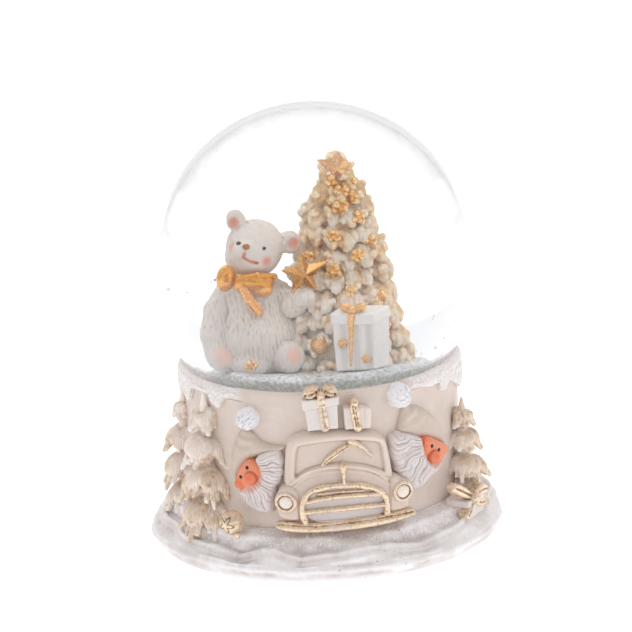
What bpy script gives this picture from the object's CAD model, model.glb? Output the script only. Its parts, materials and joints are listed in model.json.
# Musical snow globe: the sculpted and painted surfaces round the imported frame. Lengths in the helpers are millimetres.
import json
import math
import bpy
import numpy as np
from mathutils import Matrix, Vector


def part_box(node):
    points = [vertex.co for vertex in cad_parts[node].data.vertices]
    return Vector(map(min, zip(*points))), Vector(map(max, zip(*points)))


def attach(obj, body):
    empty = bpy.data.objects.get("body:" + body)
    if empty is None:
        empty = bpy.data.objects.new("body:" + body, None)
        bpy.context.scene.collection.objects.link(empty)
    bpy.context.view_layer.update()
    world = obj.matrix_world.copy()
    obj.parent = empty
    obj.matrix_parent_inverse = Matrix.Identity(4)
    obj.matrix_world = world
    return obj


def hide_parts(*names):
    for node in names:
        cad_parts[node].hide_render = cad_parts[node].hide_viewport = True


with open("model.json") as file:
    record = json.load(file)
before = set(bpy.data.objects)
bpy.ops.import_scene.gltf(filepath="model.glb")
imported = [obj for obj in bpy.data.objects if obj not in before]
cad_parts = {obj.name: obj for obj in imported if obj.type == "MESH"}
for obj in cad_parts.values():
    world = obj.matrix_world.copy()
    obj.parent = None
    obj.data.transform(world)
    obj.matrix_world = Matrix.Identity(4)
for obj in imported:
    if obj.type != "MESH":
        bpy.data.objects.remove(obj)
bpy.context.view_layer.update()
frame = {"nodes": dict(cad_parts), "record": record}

import openvdb
from mathutils import Vector, Matrix

scene = bpy.context.scene
MM = 0.001
GC = np.array([0.0, 0.0, 85.5])      # the ball's centre
BASE = "base"


def srgb(*c):
    c = np.array(c, float) / 255.0
    return np.where(c <= 0.04045, c / 12.92, ((c + 0.055) / 1.055) ** 2.4)


def sstep(a, b, x):
    t = np.clip((x - a) / (b - a), 0.0, 1.0)
    return t * t * (3 - 2 * t)


def mixc(a, b, t):
    t = np.clip(t, 0, 1)[:, None]
    return a * (1 - t) + b * t


# ------------------------------------------------------------------ value noise
RNG = np.random.RandomState(4)
LATTICE = RNG.rand(32, 32, 32).astype(np.float32)


def noise(P, scale, seed=0):
    """smooth value noise in 0..1 at points P (n, 3), one cell every `scale` mm"""
    q = P / scale + 13.7 * (seed + 1)
    i = np.floor(q).astype(int)
    f = q - i
    f = f * f * (3 - 2 * f)
    out = 0.0
    for dx in (0, 1):
        for dy in (0, 1):
            for dz in (0, 1):
                w = (f[:, 0] if dx else 1 - f[:, 0]) * (f[:, 1] if dy else 1 - f[:, 1]) * (f[:, 2] if dz else 1 - f[:, 2])
                out = out + w * LATTICE[(i[:, 0] + dx) % 32, (i[:, 1] + dy) % 32, (i[:, 2] + dz) % 32]
    return out


def fbm(P, scale, seed=0, octaves=3):
    total, amp, norm = 0.0, 1.0, 0.0
    for k in range(octaves):
        total = total + amp * noise(P, scale / 2 ** k, seed + 5 * k)
        norm += amp
        amp *= 0.5
    return total / norm


# ------------------------------------------------------------------ distance-field sculpting
def rot(rx=0.0, ry=0.0, rz=0.0):
    m = Matrix.Rotation(math.radians(rz), 3, "Z") @ Matrix.Rotation(math.radians(ry), 3, "Y") @ Matrix.Rotation(math.radians(rx), 3, "X")
    return np.array(m)


class Clay:
    def __init__(self, lo, hi, step):
        self.lo, self.step = np.array(lo, float), float(step)
        n = np.ceil((np.array(hi, float) - self.lo) / step).astype(int) + 1
        self.d = np.full(n, 9.0, np.float32)

    def window(self, c, reach):
        c, reach = np.array(c, float), np.array(reach, float) * np.ones(3)
        i0 = np.maximum(np.floor((c - reach - self.lo) / self.step).astype(int), 0)
        i1 = np.minimum(np.ceil((c + reach - self.lo) / self.step).astype(int) + 1, self.d.shape)
        if (i1 <= i0).any():
            return None
        axes = [(self.lo[k] + self.step * np.arange(i0[k], i1[k])).astype(np.float32) for k in range(3)]
        return tuple(slice(a, b) for a, b in zip(i0, i1)), axes[0][:, None, None], axes[1][None, :, None], axes[2][None, None, :]

    def _put(self, sl, new, k, mode):
        old = self.d[sl]
        if mode == "cut":
            new = -new
            t = np.clip(0.5 - 0.5 * (new - old) / max(k, 1e-4), 0, 1)
            self.d[sl] = new * (1 - t) + old * t + k * t * (1 - t)
            return
        t = np.clip(0.5 + 0.5 * (new - old) / max(k, 1e-4), 0, 1)
        self.d[sl] = new * (1 - t) + old * t - k * t * (1 - t)

    def ball(self, c, r, R=None, k=0.6, mode="add"):
        """ellipsoid with semi-axes r, turned by R"""
        r = np.array(r, float) * np.ones(3)
        w = self.window(c, r.max() + k + 1.5)
        if w is None:
            return self
        sl, X, Y, Z = w
        x, y, z = X - c[0], Y - c[1], Z - c[2]
        if R is not None:
            x, y, z = (R[0, 0] * x + R[1, 0] * y + R[2, 0] * z, R[0, 1] * x + R[1, 1] * y + R[2, 1] * z, R[0, 2] * x + R[1, 2] * y + R[2, 2] * z)
        k0 = np.sqrt((x / r[0]) ** 2 + (y / r[1]) ** 2 + (z / r[2]) ** 2)
        k1 = np.sqrt((x / r[0] ** 2) ** 2 + (y / r[1] ** 2) ** 2 + (z / r[2] ** 2) ** 2)
        self._put(sl, (k0 * (k0 - 1) / np.maximum(k1, 1e-5)).astype(np.float32), k, mode)
        return self

    def rod(self, a, b, ra, rb=None, k=0.4, mode="add"):
        rb = ra if rb is None else rb
        a, b = np.array(a, float), np.array(b, float)
        w = self.window((a + b) / 2, np.abs(b - a) / 2 + max(ra, rb) + k + 1.5)
        if w is None:
            return self
        sl, X, Y, Z = w
        e = b - a
        x, y, z = X - a[0], Y - a[1], Z - a[2]
        t = np.clip((x * e[0] + y * e[1] + z * e[2]) / max(e @ e, 1e-6), 0, 1)
        d = np.sqrt((x - e[0] * t) ** 2 + (y - e[1] * t) ** 2 + (z - e[2] * t) ** 2) - (ra + (rb - ra) * t)
        self._put(sl, d.astype(np.float32), k, mode)
        return self

    def line(self, pts, ra, rb=None, k=0.4, mode="add"):
        n = len(pts) - 1
        rb = ra if rb is None else rb
        for i in range(n):
            self.rod(pts[i], pts[i + 1], ra + (rb - ra) * i / n, ra + (rb - ra) * (i + 1) / n, k, mode)
        return self

    def block(self, c, half, R=None, soft=0.3, k=0.2, mode="add", taper=0.0):
        half = np.array(half, float)
        w = self.window(c, np.linalg.norm(half) + k + 1.5)
        if w is None:
            return self
        sl, X, Y, Z = w
        x, y, z = X - c[0], Y - c[1], Z - c[2]
        if R is not None:
            x, y, z = (R[0, 0] * x + R[1, 0] * y + R[2, 0] * z, R[0, 1] * x + R[1, 1] * y + R[2, 1] * z, R[0, 2] * x + R[1, 2] * y + R[2, 2] * z)
        s = 1.0 + taper * z / half[2]
        qx, qy, qz = np.abs(x) - half[0] * s + soft, np.abs(y) - half[1] * s + soft, np.abs(z) - half[2] + soft
        d = np.sqrt(np.maximum(qx, 0) ** 2 + np.maximum(qy, 0) ** 2 + np.maximum(qz, 0) ** 2) + np.minimum(np.maximum(qx, np.maximum(qy, qz)), 0) - soft
        self._put(sl, d.astype(np.float32), k, mode)
        return self

    def convex(self, planes, c, reach, k=0.08):
        """the solid inside all planes (point, outward normal)"""
        w = self.window(c, reach)
        if w is None:
            return self
        sl, X, Y, Z = w
        d = None
        for q, nrm in planes:
            e = (X - q[0]) * nrm[0] + (Y - q[1]) * nrm[1] + (Z - q[2]) * nrm[2]
            d = e if d is None else np.maximum(d, e)
        self._put(sl, d.astype(np.float32), k, "add")
        return self

    def mesh(self):
        d = np.clip(self.d, -3, 3)
        for axis in range(3):
            for end in (0, -1):
                sl = [slice(None)] * 3
                sl[axis] = end
                d[tuple(sl)] = np.maximum(d[tuple(sl)], 0.6)
        return quads_of(d, self.lo, self.step)


def quads_of(d, lo, step):
    grid = openvdb.FloatGrid()
    grid.background = 3.0
    grid.copyFromArray(np.ascontiguousarray(d, dtype=np.float32))
    pts, quads = grid.convertToQuads(0.0)
    P = lo + pts.astype(np.float64) * step
    Q = quads.astype(np.int64)
    a, b, c = P[Q[:, 0]], P[Q[:, 1]], P[Q[:, 2]]
    e = P[Q[:, 3]]
    volume = (np.einsum("ij,ij->i", a, np.cross(b, c)) + np.einsum("ij,ij->i", a, np.cross(c, e))).sum()
    if volume < 0:
        Q = Q[:, ::-1].copy()
    return P, Q


class Skin:
    """a quad mesh with its normals and neighbours"""
    def __init__(self, P, Q):
        self.P, self.Q = P, Q
        e = np.concatenate([Q[:, [0, 1]], Q[:, [1, 2]], Q[:, [2, 3]], Q[:, [3, 0]]])
        self.e = np.concatenate([e, e[:, ::-1]])
        self.deg = np.maximum(np.bincount(self.e[:, 0], minlength=len(P)), 1)
        self.renormal()

    def renormal(self):
        P, Q = self.P, self.Q
        n = np.cross(P[Q[:, 2]] - P[Q[:, 0]], P[Q[:, 3]] - P[Q[:, 1]])
        N = np.stack([sum(np.bincount(Q[:, k], n[:, a], minlength=len(P)) for k in range(4)) for a in range(3)], 1)
        self.N = N / np.maximum(np.linalg.norm(N, axis=1, keepdims=True), 1e-12)

    def blur(self, V, times):
        one = V.ndim == 1
        V = V[:, None] if one else V
        for _ in range(times):
            V = 0.5 * V + 0.5 * np.stack([np.bincount(self.e[:, 0], V[self.e[:, 1], a], minlength=len(V)) for a in range(V.shape[1])], 1) / self.deg[:, None]
        return V[:, 0] if one else V

    def relax(self, times):
        self.P = self.blur(self.P, times)
        self.renormal()
        return self

    def push(self, amount):
        self.P = self.P + self.N * amount[:, None]
        self.renormal()
        return self

    def bulge(self, times):
        """how far each point stands out of its surroundings, in mm: positive on a crest, negative in a crease"""
        return ((self.P - self.blur(self.P, times)) * self.N).sum(1)


def piece(name, skin, col, gold, material, nodes, body=BASE, smooth=True):
    me = bpy.data.meshes.new(name)
    P, Q = skin.P, skin.Q
    me.vertices.add(len(P))
    me.vertices.foreach_set("co", (P * MM).astype(np.float32).ravel())
    me.loops.add(Q.size)
    me.loops.foreach_set("vertex_index", Q.astype(np.int32).ravel())
    me.polygons.add(len(Q))
    me.polygons.foreach_set("loop_start", np.arange(0, Q.size, 4, dtype=np.int32))
    me.polygons.foreach_set("use_smooth", np.full(len(Q), smooth))
    me.update(calc_edges=True)
    col = np.clip(np.broadcast_to(col, (len(P), 3)), 0, 1)
    a = me.attributes.new("paint", "FLOAT_COLOR", "POINT")
    a.data.foreach_set("color", np.concatenate([col, np.ones((len(P), 1))], 1).astype(np.float32).ravel())
    a = me.attributes.new("gilt", "FLOAT", "POINT")
    a.data.foreach_set("value", np.clip(np.broadcast_to(gold, (len(P),)), 0, 1).astype(np.float32))
    me.materials.append(material)
    ob = bpy.data.objects.new(name, me)
    scene.collection.objects.link(ob)
    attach(ob, body)
    if nodes:
        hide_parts(*nodes)
    return ob


# ------------------------------------------------------------------ materials
def nodes_of(mat):
    mat.use_nodes = True
    nt = mat.node_tree
    return nt, nt.nodes["Principled BSDF"]


def link(nt, a, b):
    nt.links.new(a, b)


def add(nt, kind, **props):
    n = nt.nodes.new(kind)
    for k, v in props.items():
        setattr(n, k, v)
    return n


def coords(nt):
    return add(nt, "ShaderNodeTexCoord").outputs["Object"]


def noise_node(nt, vec, scale, detail=3.0, rough=0.55):
    n = add(nt, "ShaderNodeTexNoise")
    n.inputs["Scale"].default_value = scale
    n.inputs["Detail"].default_value = detail
    n.inputs["Roughness"].default_value = rough
    link(nt, vec, n.inputs["Vector"])
    return n.outputs["Fac"]


def ramp(nt, fac, lo, hi, a, b):
    m = add(nt, "ShaderNodeMapRange")
    m.inputs["From Min"].default_value, m.inputs["From Max"].default_value = lo, hi
    m.inputs["To Min"].default_value, m.inputs["To Max"].default_value = a, b
    link(nt, fac, m.inputs["Value"])
    return m.outputs["Result"]


def vmul(nt, colour, fac):
    m = add(nt, "ShaderNodeVectorMath", operation="SCALE")
    link(nt, colour, m.inputs[0])
    link(nt, fac, m.inputs["Scale"])
    return m.outputs["Vector"]


def bump(nt, bsdf, height, strength, distance):
    b = add(nt, "ShaderNodeBump")
    b.inputs["Strength"].default_value = strength
    b.inputs["Distance"].default_value = distance
    link(nt, height, b.inputs["Height"])
    link(nt, b.outputs["Normal"], bsdf.inputs["Normal"])


def painted(name, rough=0.6, gold_rough=0.34, grain=1400.0, bumpy=0.25, mottling=0.06, metal=0.75, soft=0.0, coat=0.0):
    """cast resin with hand-painted colour: the colour and the gilding come with the mesh, the grain from noise"""
    mat = bpy.data.materials.new(name)
    nt, bsdf = nodes_of(mat)
    vec = coords(nt)
    colour = add(nt, "ShaderNodeAttribute", attribute_name="paint").outputs["Color"]
    gilt = add(nt, "ShaderNodeAttribute", attribute_name="gilt").outputs["Fac"]
    broad = noise_node(nt, vec, 160.0, 3.0)
    fine = noise_node(nt, vec, grain, 4.0, 0.65)
    shade = ramp(nt, broad, 0.25, 0.75, 1.0 - mottling, 1.0 + mottling * 0.6)
    speck = ramp(nt, fine, 0.30, 0.70, 1.0 - mottling * 0.8, 1.0 + mottling * 0.6)
    link(nt, vmul(nt, vmul(nt, colour, shade), speck), bsdf.inputs["Base Color"])
    m = add(nt, "ShaderNodeMath", operation="MULTIPLY")
    link(nt, gilt, m.inputs[0])
    m.inputs[1].default_value = metal
    link(nt, m.outputs[0], bsdf.inputs["Metallic"])
    r = add(nt, "ShaderNodeMix")
    r.data_type = "FLOAT"
    link(nt, gilt, r.inputs["Factor"])
    r.inputs["A"].default_value = rough
    r.inputs["B"].default_value = gold_rough
    r2 = add(nt, "ShaderNodeMath", operation="ADD")
    link(nt, r.outputs["Result"], r2.inputs[0])
    link(nt, ramp(nt, fine, 0.3, 0.7, -0.07, 0.07), r2.inputs[1])
    link(nt, r2.outputs[0], bsdf.inputs["Roughness"])
    bsdf.inputs["Specular IOR Level"].default_value = 0.4
    if coat:
        bsdf.inputs["Coat Weight"].default_value = coat
        bsdf.inputs["Coat Roughness"].default_value = 0.25
    if soft:
        bsdf.inputs["Subsurface Weight"].default_value = soft
        bsdf.inputs["Subsurface Radius"].default_value = (0.0016, 0.0011, 0.0008)
        bsdf.inputs["Subsurface Scale"].default_value = 1.0
    bump(nt, bsdf, fine, bumpy, 0.00012)
    return mat


RESIN = painted("cast_resin_painted", rough=0.52, bumpy=0.18, mottling=0.05)
SNOWMAT = painted("snow_painted", rough=0.7, grain=2200.0, bumpy=0.55, mottling=0.05)
FIGURE = painted("figure_resin", rough=0.45, gold_rough=0.30, bumpy=0.15, mottling=0.04, metal=0.6)
GILT = painted("antique_gold_paint", rough=0.42, gold_rough=0.34, bumpy=0.3, mottling=0.10, metal=0.72)

# paint colours, linear
BEIGE = srgb(220, 203, 192)
BEIGE_D = srgb(170, 142, 122)
WHITE = srgb(236, 232, 233)
WHITE_D = srgb(176, 168, 170)
GOLD = srgb(242, 217, 189)
GOLD_D = srgb(134, 100, 70)
GOLD_P = srgb(250, 232, 208)
CREAM = srgb(238, 226, 210)
CORAL = srgb(232, 148, 112)
BLACK = srgb(18, 14, 12)

# ------------------------------------------------------------------ relief on the drum: (u, v, w) = (arc at r 45, height, height over the wall)
WALL = 42.0


def chaikin(pts, times=2, closed=True):
    p = np.array(pts, float)
    for _ in range(times):
        q = np.roll(p, -1, 0) if closed else p[1:]
        a = p if closed else p[:-1]
        new = np.empty((2 * len(a), 2))
        new[0::2], new[1::2] = 0.75 * a + 0.25 * q, 0.25 * a + 0.75 * q
        if not closed:
            new = np.concatenate([p[:1], new, p[-1:]])
        p = new
    return p


def inside(U, V, pts):
    """signed distance to a closed outline, negative inside"""
    d = np.full(U.shape, 1e9)
    s = np.ones(U.shape)
    for i in range(len(pts)):
        a, b = pts[i], pts[i - 1]
        ex, ey = b[0] - a[0], b[1] - a[1]
        wx, wy = U - a[0], V - a[1]
        t = np.clip((wx * ex + wy * ey) / max(ex * ex + ey * ey, 1e-9), 0, 1)
        d = np.minimum(d, (wx - ex * t) ** 2 + (wy - ey * t) ** 2)
        c1, c2, c3 = V >= a[1], V < b[1], ex * wy > ey * wx
        s = np.where((c1 & c2 & c3) | (~c1 & ~c2 & ~c3), -s, s)
    return s * np.sqrt(d)


def along(U, V, pts):
    """distance to an open line, and how far along it 0..1"""
    d = np.full(U.shape, 1e9)
    at = np.zeros(U.shape)
    seg = [math.hypot(pts[i + 1][0] - pts[i][0], pts[i + 1][1] - pts[i][1]) for i in range(len(pts) - 1)]
    total, done = sum(seg), 0.0
    for i in range(len(pts) - 1):
        a, b = pts[i], pts[i + 1]
        ex, ey = b[0] - a[0], b[1] - a[1]
        t = np.clip(((U - a[0]) * ex + (V - a[1]) * ey) / max(ex * ex + ey * ey, 1e-9), 0, 1)
        q = (U - a[0] - ex * t) ** 2 + (V - a[1] - ey * t) ** 2
        at = np.where(q < d, (done + seg[i] * t) / total, at)
        d = np.minimum(d, q)
        done += seg[i]
    return np.sqrt(d), at


def dome(depth, wide):
    """a quarter-round rise over `wide` mm inside an outline; depth is negative inside"""
    t = np.clip(-depth / wide, 0, 1)
    return np.sqrt(np.clip(1 - (1 - t) ** 2, 0, 1))


def smax(a, b, k=0.4):
    t = np.clip(0.5 + 0.5 * (a - b) / k, 0, 1)
    return a * t + b * (1 - t) + k * t * (1 - t)


class Relief:
    def __init__(self, lo, hi, step=0.2, top=9.5, floor=-0.5):
        self.u = np.arange(lo[0], hi[0] + step, step)
        self.v = np.arange(lo[1], hi[1] + step, step)
        self.U, self.V = np.meshgrid(self.u, self.v, indexing="ij")
        self.step, self.floor, self.top = step, floor, top
        self.H = np.full(self.U.shape, -3.0)

    def skin(self):
        """closed solid between the wall (a little inside it) and the height field, bent round the drum"""
        w = np.arange(self.floor - 2 * self.step, self.top, self.step)
        gu, gv = np.gradient(self.H, self.step)
        slope = 1.0 / np.sqrt(1 + np.clip(gu ** 2 + gv ** 2, 0, 60.0))
        d = (w[None, None, :] - self.H[:, :, None]) * slope[:, :, None]
        d = np.maximum(d, (self.floor - w)[None, None, :])
        d = np.clip(d, -3, 3)
        d[0], d[-1], d[:, 0], d[:, -1], d[:, :, 0], d[:, :, -1] = 0.6, 0.6, 0.6, 0.6, 0.6, 0.6
        P, Q = quads_of(d, np.array([self.u[0], self.v[0], w[0]]), self.step)
        self.flat = P.copy()
        r, phi = WALL + P[:, 2], P[:, 0] / 45.0
        skin = Skin(np.stack([r * np.sin(phi), -r * np.cos(phi), P[:, 1]], 1), Q)
        n = skin.P[skin.Q[:, 0]]
        a, b, c = skin.P[skin.Q[:, 0]], skin.P[skin.Q[:, 1]], skin.P[skin.Q[:, 2]]
        e = skin.P[skin.Q[:, 3]]
        if (np.einsum("ij,ij->i", a, np.cross(b, c)) + np.einsum("ij,ij->i", a, np.cross(c, e))).sum() < 0:
            skin = Skin(skin.P, skin.Q[:, ::-1].copy())
        return skin

    def at(self, field):
        """a (u, v) field read at the skin's points"""
        i = np.clip((self.flat[:, 0] - self.u[0]) / self.step, 0, len(self.u) - 1.001)
        j = np.clip((self.flat[:, 1] - self.v[0]) / self.step, 0, len(self.v) - 1.001)
        i0, j0 = i.astype(int), j.astype(int)
        a, b = i - i0, j - j0
        return (field[i0, j0] * (1 - a) * (1 - b) + field[i0 + 1, j0] * a * (1 - b) + field[i0, j0 + 1] * (1 - a) * b + field[i0 + 1, j0 + 1] * a * b)


def flat3(U, V):
    return np.stack([U.ravel(), V.ravel(), np.zeros(U.size)], 1)


def noise2(U, V, scale, seed=0, octaves=2):
    return fbm(flat3(U, V), scale, seed, octaves).reshape(U.shape)


def gilded(skin, amount=1.0, wear=0.35, seed=3):
    """antique gold brushed over the piece: darker in the creases, paler and rubbed on the crests"""
    rub = fbm(skin.P, 1.6, seed)
    skin.push((fbm(skin.P, 0.8, seed + 1) - 0.5) * 0.30)
    b = skin.bulge(10)
    fleck = fbm(skin.P, 0.55, seed + 2, 2)
    col = mixc(np.broadcast_to(GOLD, (len(b), 3)), GOLD_P, sstep(0.0, 0.10, b) * 0.9 + (rub - 0.5) * 0.9)
    col = mixc(col, GOLD_D, np.maximum(sstep(0.01, -0.08, b) * 0.9, sstep(0.60, 0.80, fleck) * 0.55))
    bare = sstep(0.56, 0.74, fbm(skin.P, 3.6, seed + 7)) * wear
    col = mixc(col, BEIGE, bare)
    return col, amount * (1 - bare)


# ---- the car
CABIN = chaikin([(-17.6, 29.0), (-17.0, 36.6), (-16.4, 40.7), (-15.4, 43.4), (-13.0, 45.0), (-7.3, 45.8), (-0.9, 45.9), (8.7, 44.7), (13.4, 43.2), (15.4, 40.8), (16.2, 35.9), (17.0, 29.9), (17.0, 26.8), (14, 22), (-15, 22)])
SCREEN = chaikin([(-13.9, 30.8), (-13.4, 36.7), (-12.8, 40.8), (-11.8, 42.1), (-2.3, 43.1), (4.0, 42.8), (11.9, 41.4), (13.1, 39.9), (13.5, 35.3), (14.0, 30.8), (11.5, 32.5), (6.6, 34.6), (-0.1, 35.8), (-5.6, 35.3), (-10.1, 33.6)], 2)
HOOD = chaikin([(-15.2, 28.6), (-14.0, 30.4), (-11.7, 32.3), (-9.4, 33.6), (-5.6, 34.6), (-1.5, 34.8), (2.3, 34.7), (6.4, 33.8), (9.9, 32.4), (13.5, 29.5), (15.0, 27.0), (14.0, 17.6), (-12, 17.6)])
HOODLINE = chaikin([(-14.6, 29.6), (-11.7, 32.3), (-9.4, 33.6), (-5.6, 34.6), (-1.5, 34.8), (2.3, 34.7), (6.4, 33.8), (9.9, 32.4), (14.3, 28.8)], 2, False)
GRILLE = chaikin([(-10.9, 18.6), (-11.5, 20.8), (-11.5, 23.2), (-10.9, 25.3), (-9.6, 27.5), (-7.0, 29.0), (-1.9, 29.6), (2.6, 29.5), (7.1, 28.5), (10.5, 26.8), (12.2, 24.9), (13.1, 22.5), (13.2, 19.4), (12.0, 18.4)], 2)
GRILLE_LINE = chaikin([(-10.7, 18.2), (-11.5, 20.8), (-11.5, 23.2), (-10.9, 25.3), (-9.6, 27.4), (-7.0, 28.8), (-1.9, 29.4), (2.6, 29.3), (7.1, 28.4), (10.5, 26.7), (12.2, 24.9), (13.1, 22.5), (13.0, 19.4), (12.8, 18.6)], 2, False)
BARS = [chaikin([(-9.9, 24.5), (-5.1, 25.6), (0.9, 25.9), (7.0, 25.7), (11.6, 25.0)], 2, False), chaikin([(-11.0, 21.3), (-5.3, 21.8), (0.8, 22.0), (6.9, 22.0), (12.9, 21.5)], 2, False),
        chaikin([(-6.6, 27.0), (-1.4, 27.5), (6.0, 27.1)], 2, False)]
FENDL = chaikin([(-20.2, 23.5), (-19.7, 27.0), (-18.0, 29.3), (-15.4, 29.9), (-12.6, 28.9), (-11.2, 27.0), (-11.2, 22.2), (-11.6, 17.4), (-17.8, 17.6), (-19.9, 20.3)])
FENDR = chaikin([(14.0, 28.9), (15.7, 30.3), (18.2, 30.0), (20.8, 27.5), (22.0, 24.1), (21.6, 20.5), (20.0, 17.6), (12.8, 17.6), (12.9, 23.2)])
BUMPER = chaikin([(-19.6, 18.6), (-14.4, 18.2), (-7.8, 18.0), (3.5, 18.6), (14.5, 18.9), (20.7, 19.2), (22.3, 18.4), (22.0, 16.6), (14.4, 15.7), (3.4, 15.3), (-8.5, 15.0), (-15.7, 15.2), (-19.4, 16.4)], 2)
LAMPS = {"left": (-16.0, 24.6), "right": (18.0, 24.9)}

car = Relief((-24, 12.5), (26, 47.5), 0.2, 8.5)
U, V = car.U, car.V
roof = 3.9 * dome(inside(U, V, CABIN), 1.7) + 0.25
screen = inside(U, V, SCREEN)
roof = roof - 0.95 * sstep(0.15, -0.45, screen) + 0.28 * np.exp(-((screen - 0.75) / 0.7) ** 2) * (screen > -0.2)
hood_d = inside(U, V, HOOD)
hood = np.where(hood_d < 0.6, 4.15 + 1.75 * sstep(35.0, 24.0, V) - ((U - 1.0) / 15.0) ** 2 * 0.9, -3.0)
hood = np.where(hood_d < 0.6, hood * dome(hood_d - 0.6, 0.8) - 3 * (hood_d > 0.59), -3.0)
line_d, line_t = along(U, V, HOODLINE)
body_h = np.maximum(roof, hood)
body_h = body_h + 0.38 * np.exp(-(line_d / 0.42) ** 2) * (V > 27) - 0.22 * np.exp(-((line_d - 0.95) / 0.35) ** 2) * (V > 28) * (screen < 0)
second, _ = along(U, V, HOODLINE - np.array([0.0, 1.5]))
body_h = body_h + 0.20 * np.exp(-(second / 0.35) ** 2) * (V > 27)
for side, (lu, lv) in LAMPS.items():
    f = inside(U, V, FENDL if side == "left" else FENDR)
    fender = 5.9 * dome(f, 2.2)
    boss = np.hypot(U - lu, V - lv)
    fender = smax(fender, 6.3 * dome(boss - 4.0, 1.2) + 0.1, 0.35)
    body_h = smax(body_h, fender, 0.45)
g_d = inside(U, V, GRILLE)
body_h = np.where(g_d < 0.2, np.minimum(body_h, 5.1), body_h)
body_h = np.where(inside(U, V, CABIN) * 0 + np.minimum(np.minimum(inside(U, V, CABIN), hood_d - 0.6), np.minimum(inside(U, V, FENDL), inside(U, V, FENDR))) > 0.0, -3.0, body_h)
body_h += (noise2(U, V, 3.0, 2) - 0.5) * 0.12
car.H = body_h
sk = car.skin()
sk.relax(1)
b = sk.bulge(12)
fu, fv, fw = car.flat.T
col = mixc(np.broadcast_to(BEIGE, (len(b), 3)), srgb(240, 226, 216), sstep(0.0, 0.10, b) * 0.8)
col = mixc(col, BEIGE_D, sstep(0.0, -0.12, b) * 0.75)
in_grille = car.at(sstep(0.6, -0.4, g_d))
col = mixc(col, srgb(216, 210, 212), in_grille * 0.8)
col = mixc(col, srgb(160, 128, 84), in_grille * sstep(0.55, 0.75, fbm(sk.P, 2.2, 8)) * sstep(24.5, 25.5, fv) * 0.8)
edge_gold = sstep(0.05, 0.14, b) * sstep(0.60, 0.72, fbm(sk.P, 5.0, 11)) * 0.5
col = mixc(col, GOLD_P, edge_gold)
piece("car_body_sculpt", sk, col, edge_gold * 0.5, RESIN, ["car_body"])

surround = Relief((-14, 16.5), (16, 31.5), 0.18, 8.8, 4.2)
U, V = surround.U, surround.V
d, t = along(U, V, GRILLE_LINE)
wide = 0.95 + 0.12 * np.sin(t * 40)
surround.H = np.where(d < wide, 5.6 + 1.25 * np.sqrt(np.clip(1 - (d / wide) ** 2, 0, 1)), -3.0)
sk = surround.skin().relax(1)
col, gilt = gilded(sk, 0.9, 0.5)
piece("grille_surround_sculpt", sk, col, gilt, GILT, ["grille_surround"])

bars = Relief((-14, 19.5), (16, 29.5), 0.18, 8.6, 4.2)
U, V = bars.U, bars.V
h = np.full(U.shape, -3.0)
for i, line in enumerate(BARS):
    d, t = along(U, V, line)
    wide = (0.78, 0.82, 0.42)[i]
    h = np.maximum(h, np.where(d < wide, (5.5, 5.6, 5.2)[i] + 1.0 * np.sqrt(np.clip(1 - (d / wide) ** 2, 0, 1)), -3.0))
bars.H = np.where(inside(U, V, GRILLE) < 0.3, h, -3.0)
sk = bars.skin().relax(1)
col, gilt = gilded(sk, 0.9, 0.5, 5)
piece("grille_bars_sculpt", sk, col, gilt, GILT, ["grille_bars"])

bump_r = Relief((-21.5, 13.5), (24, 21), 0.18, 9.4, 4.2)
U, V = bump_r.U, bump_r.V
d = inside(U, V, BUMPER)
top = np.interp(U, [-19.6, -7.8, 3.5, 14.5, 22.3], [18.6, 18.0, 18.6, 18.9, 18.8])
h = 5.2 + 2.5 * dome(d, 1.0)
h = h - 0.75 * np.exp(-((V - top + 0.95) / 0.28) ** 2) - 0.55 * sstep(top - 1.0, top - 0.8, V)
bump_r.H = np.where(d < 0, h, -3.0) + (noise2(U, V, 1.2, 6) - 0.5) * 0.15
sk = bump_r.skin().relax(1)
col, gilt = gilded(sk, 0.85, 0.7, 9)
piece("bumper_sculpt", sk, col, gilt, GILT, ["car_bumper"])

for side, (lu, lv) in LAMPS.items():
    lamp = Relief((lu - 4.2, lv - 4.2), (lu + 4.2, lv + 4.2), 0.14, 9.4, 4.6)
    r = np.hypot(lamp.U - lu, lamp.V - lv)
    h = np.where(r < 3.3, 6.2 + 0.75 * np.sqrt(np.clip(1 - ((r - 2.65) / 0.62) ** 2, 0, 1)), -3.0)
    h = np.where(r < 2.15, 6.1 + 0.95 * np.sqrt(np.clip(1 - (r / 2.2) ** 2, 0, 1)), h)
    lamp.H = h
    sk = lamp.skin().relax(1)
    rr = lamp.at(r)
    col, gilt = gilded(sk, 0.9, 0.4, 12)
    lens = sstep(1.98, 1.80, rr)
    flat_ring = sstep(0.30, 0.15, np.abs(rr - 2.7)) * 0.55
    col = mixc(col, srgb(244, 232, 220), lens)
    col = mixc(col, BEIGE, flat_ring)
    col = mixc(col, GOLD_D, sstep(0.22, 0.08, np.abs(rr - 2.12)) * 0.9)
    piece("headlamp_%s_sculpt" % side, sk, col, gilt * (1 - lens) * (1 - flat_ring), GILT, ["headlamp_" + side])

orn = Relief((-3, 27.5), (4, 37), 0.14, 8.6, 3.8)
U, V = orn.U, orn.V
d, t = along(U, V, [(0.75, 35.0), (0.7, 32.5), (0.75, 29.4)])
wide = 0.62 + 0.55 * sstep(33.0, 35.0, V) + 0.25 * sstep(30.4, 29.4, V)
orn.H = np.where(d < wide, 5.4 + 1.35 * np.sqrt(np.clip(1 - (d / wide) ** 2, 0, 1)) - 0.3 * sstep(32, 35, V), -3.0)
sk = orn.skin().relax(1)
col, gilt = gilded(sk, 0.9, 0.4, 14)
piece("hood_ornament_sculpt", sk, col, gilt, GILT, ["hood_ornament"])

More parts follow.
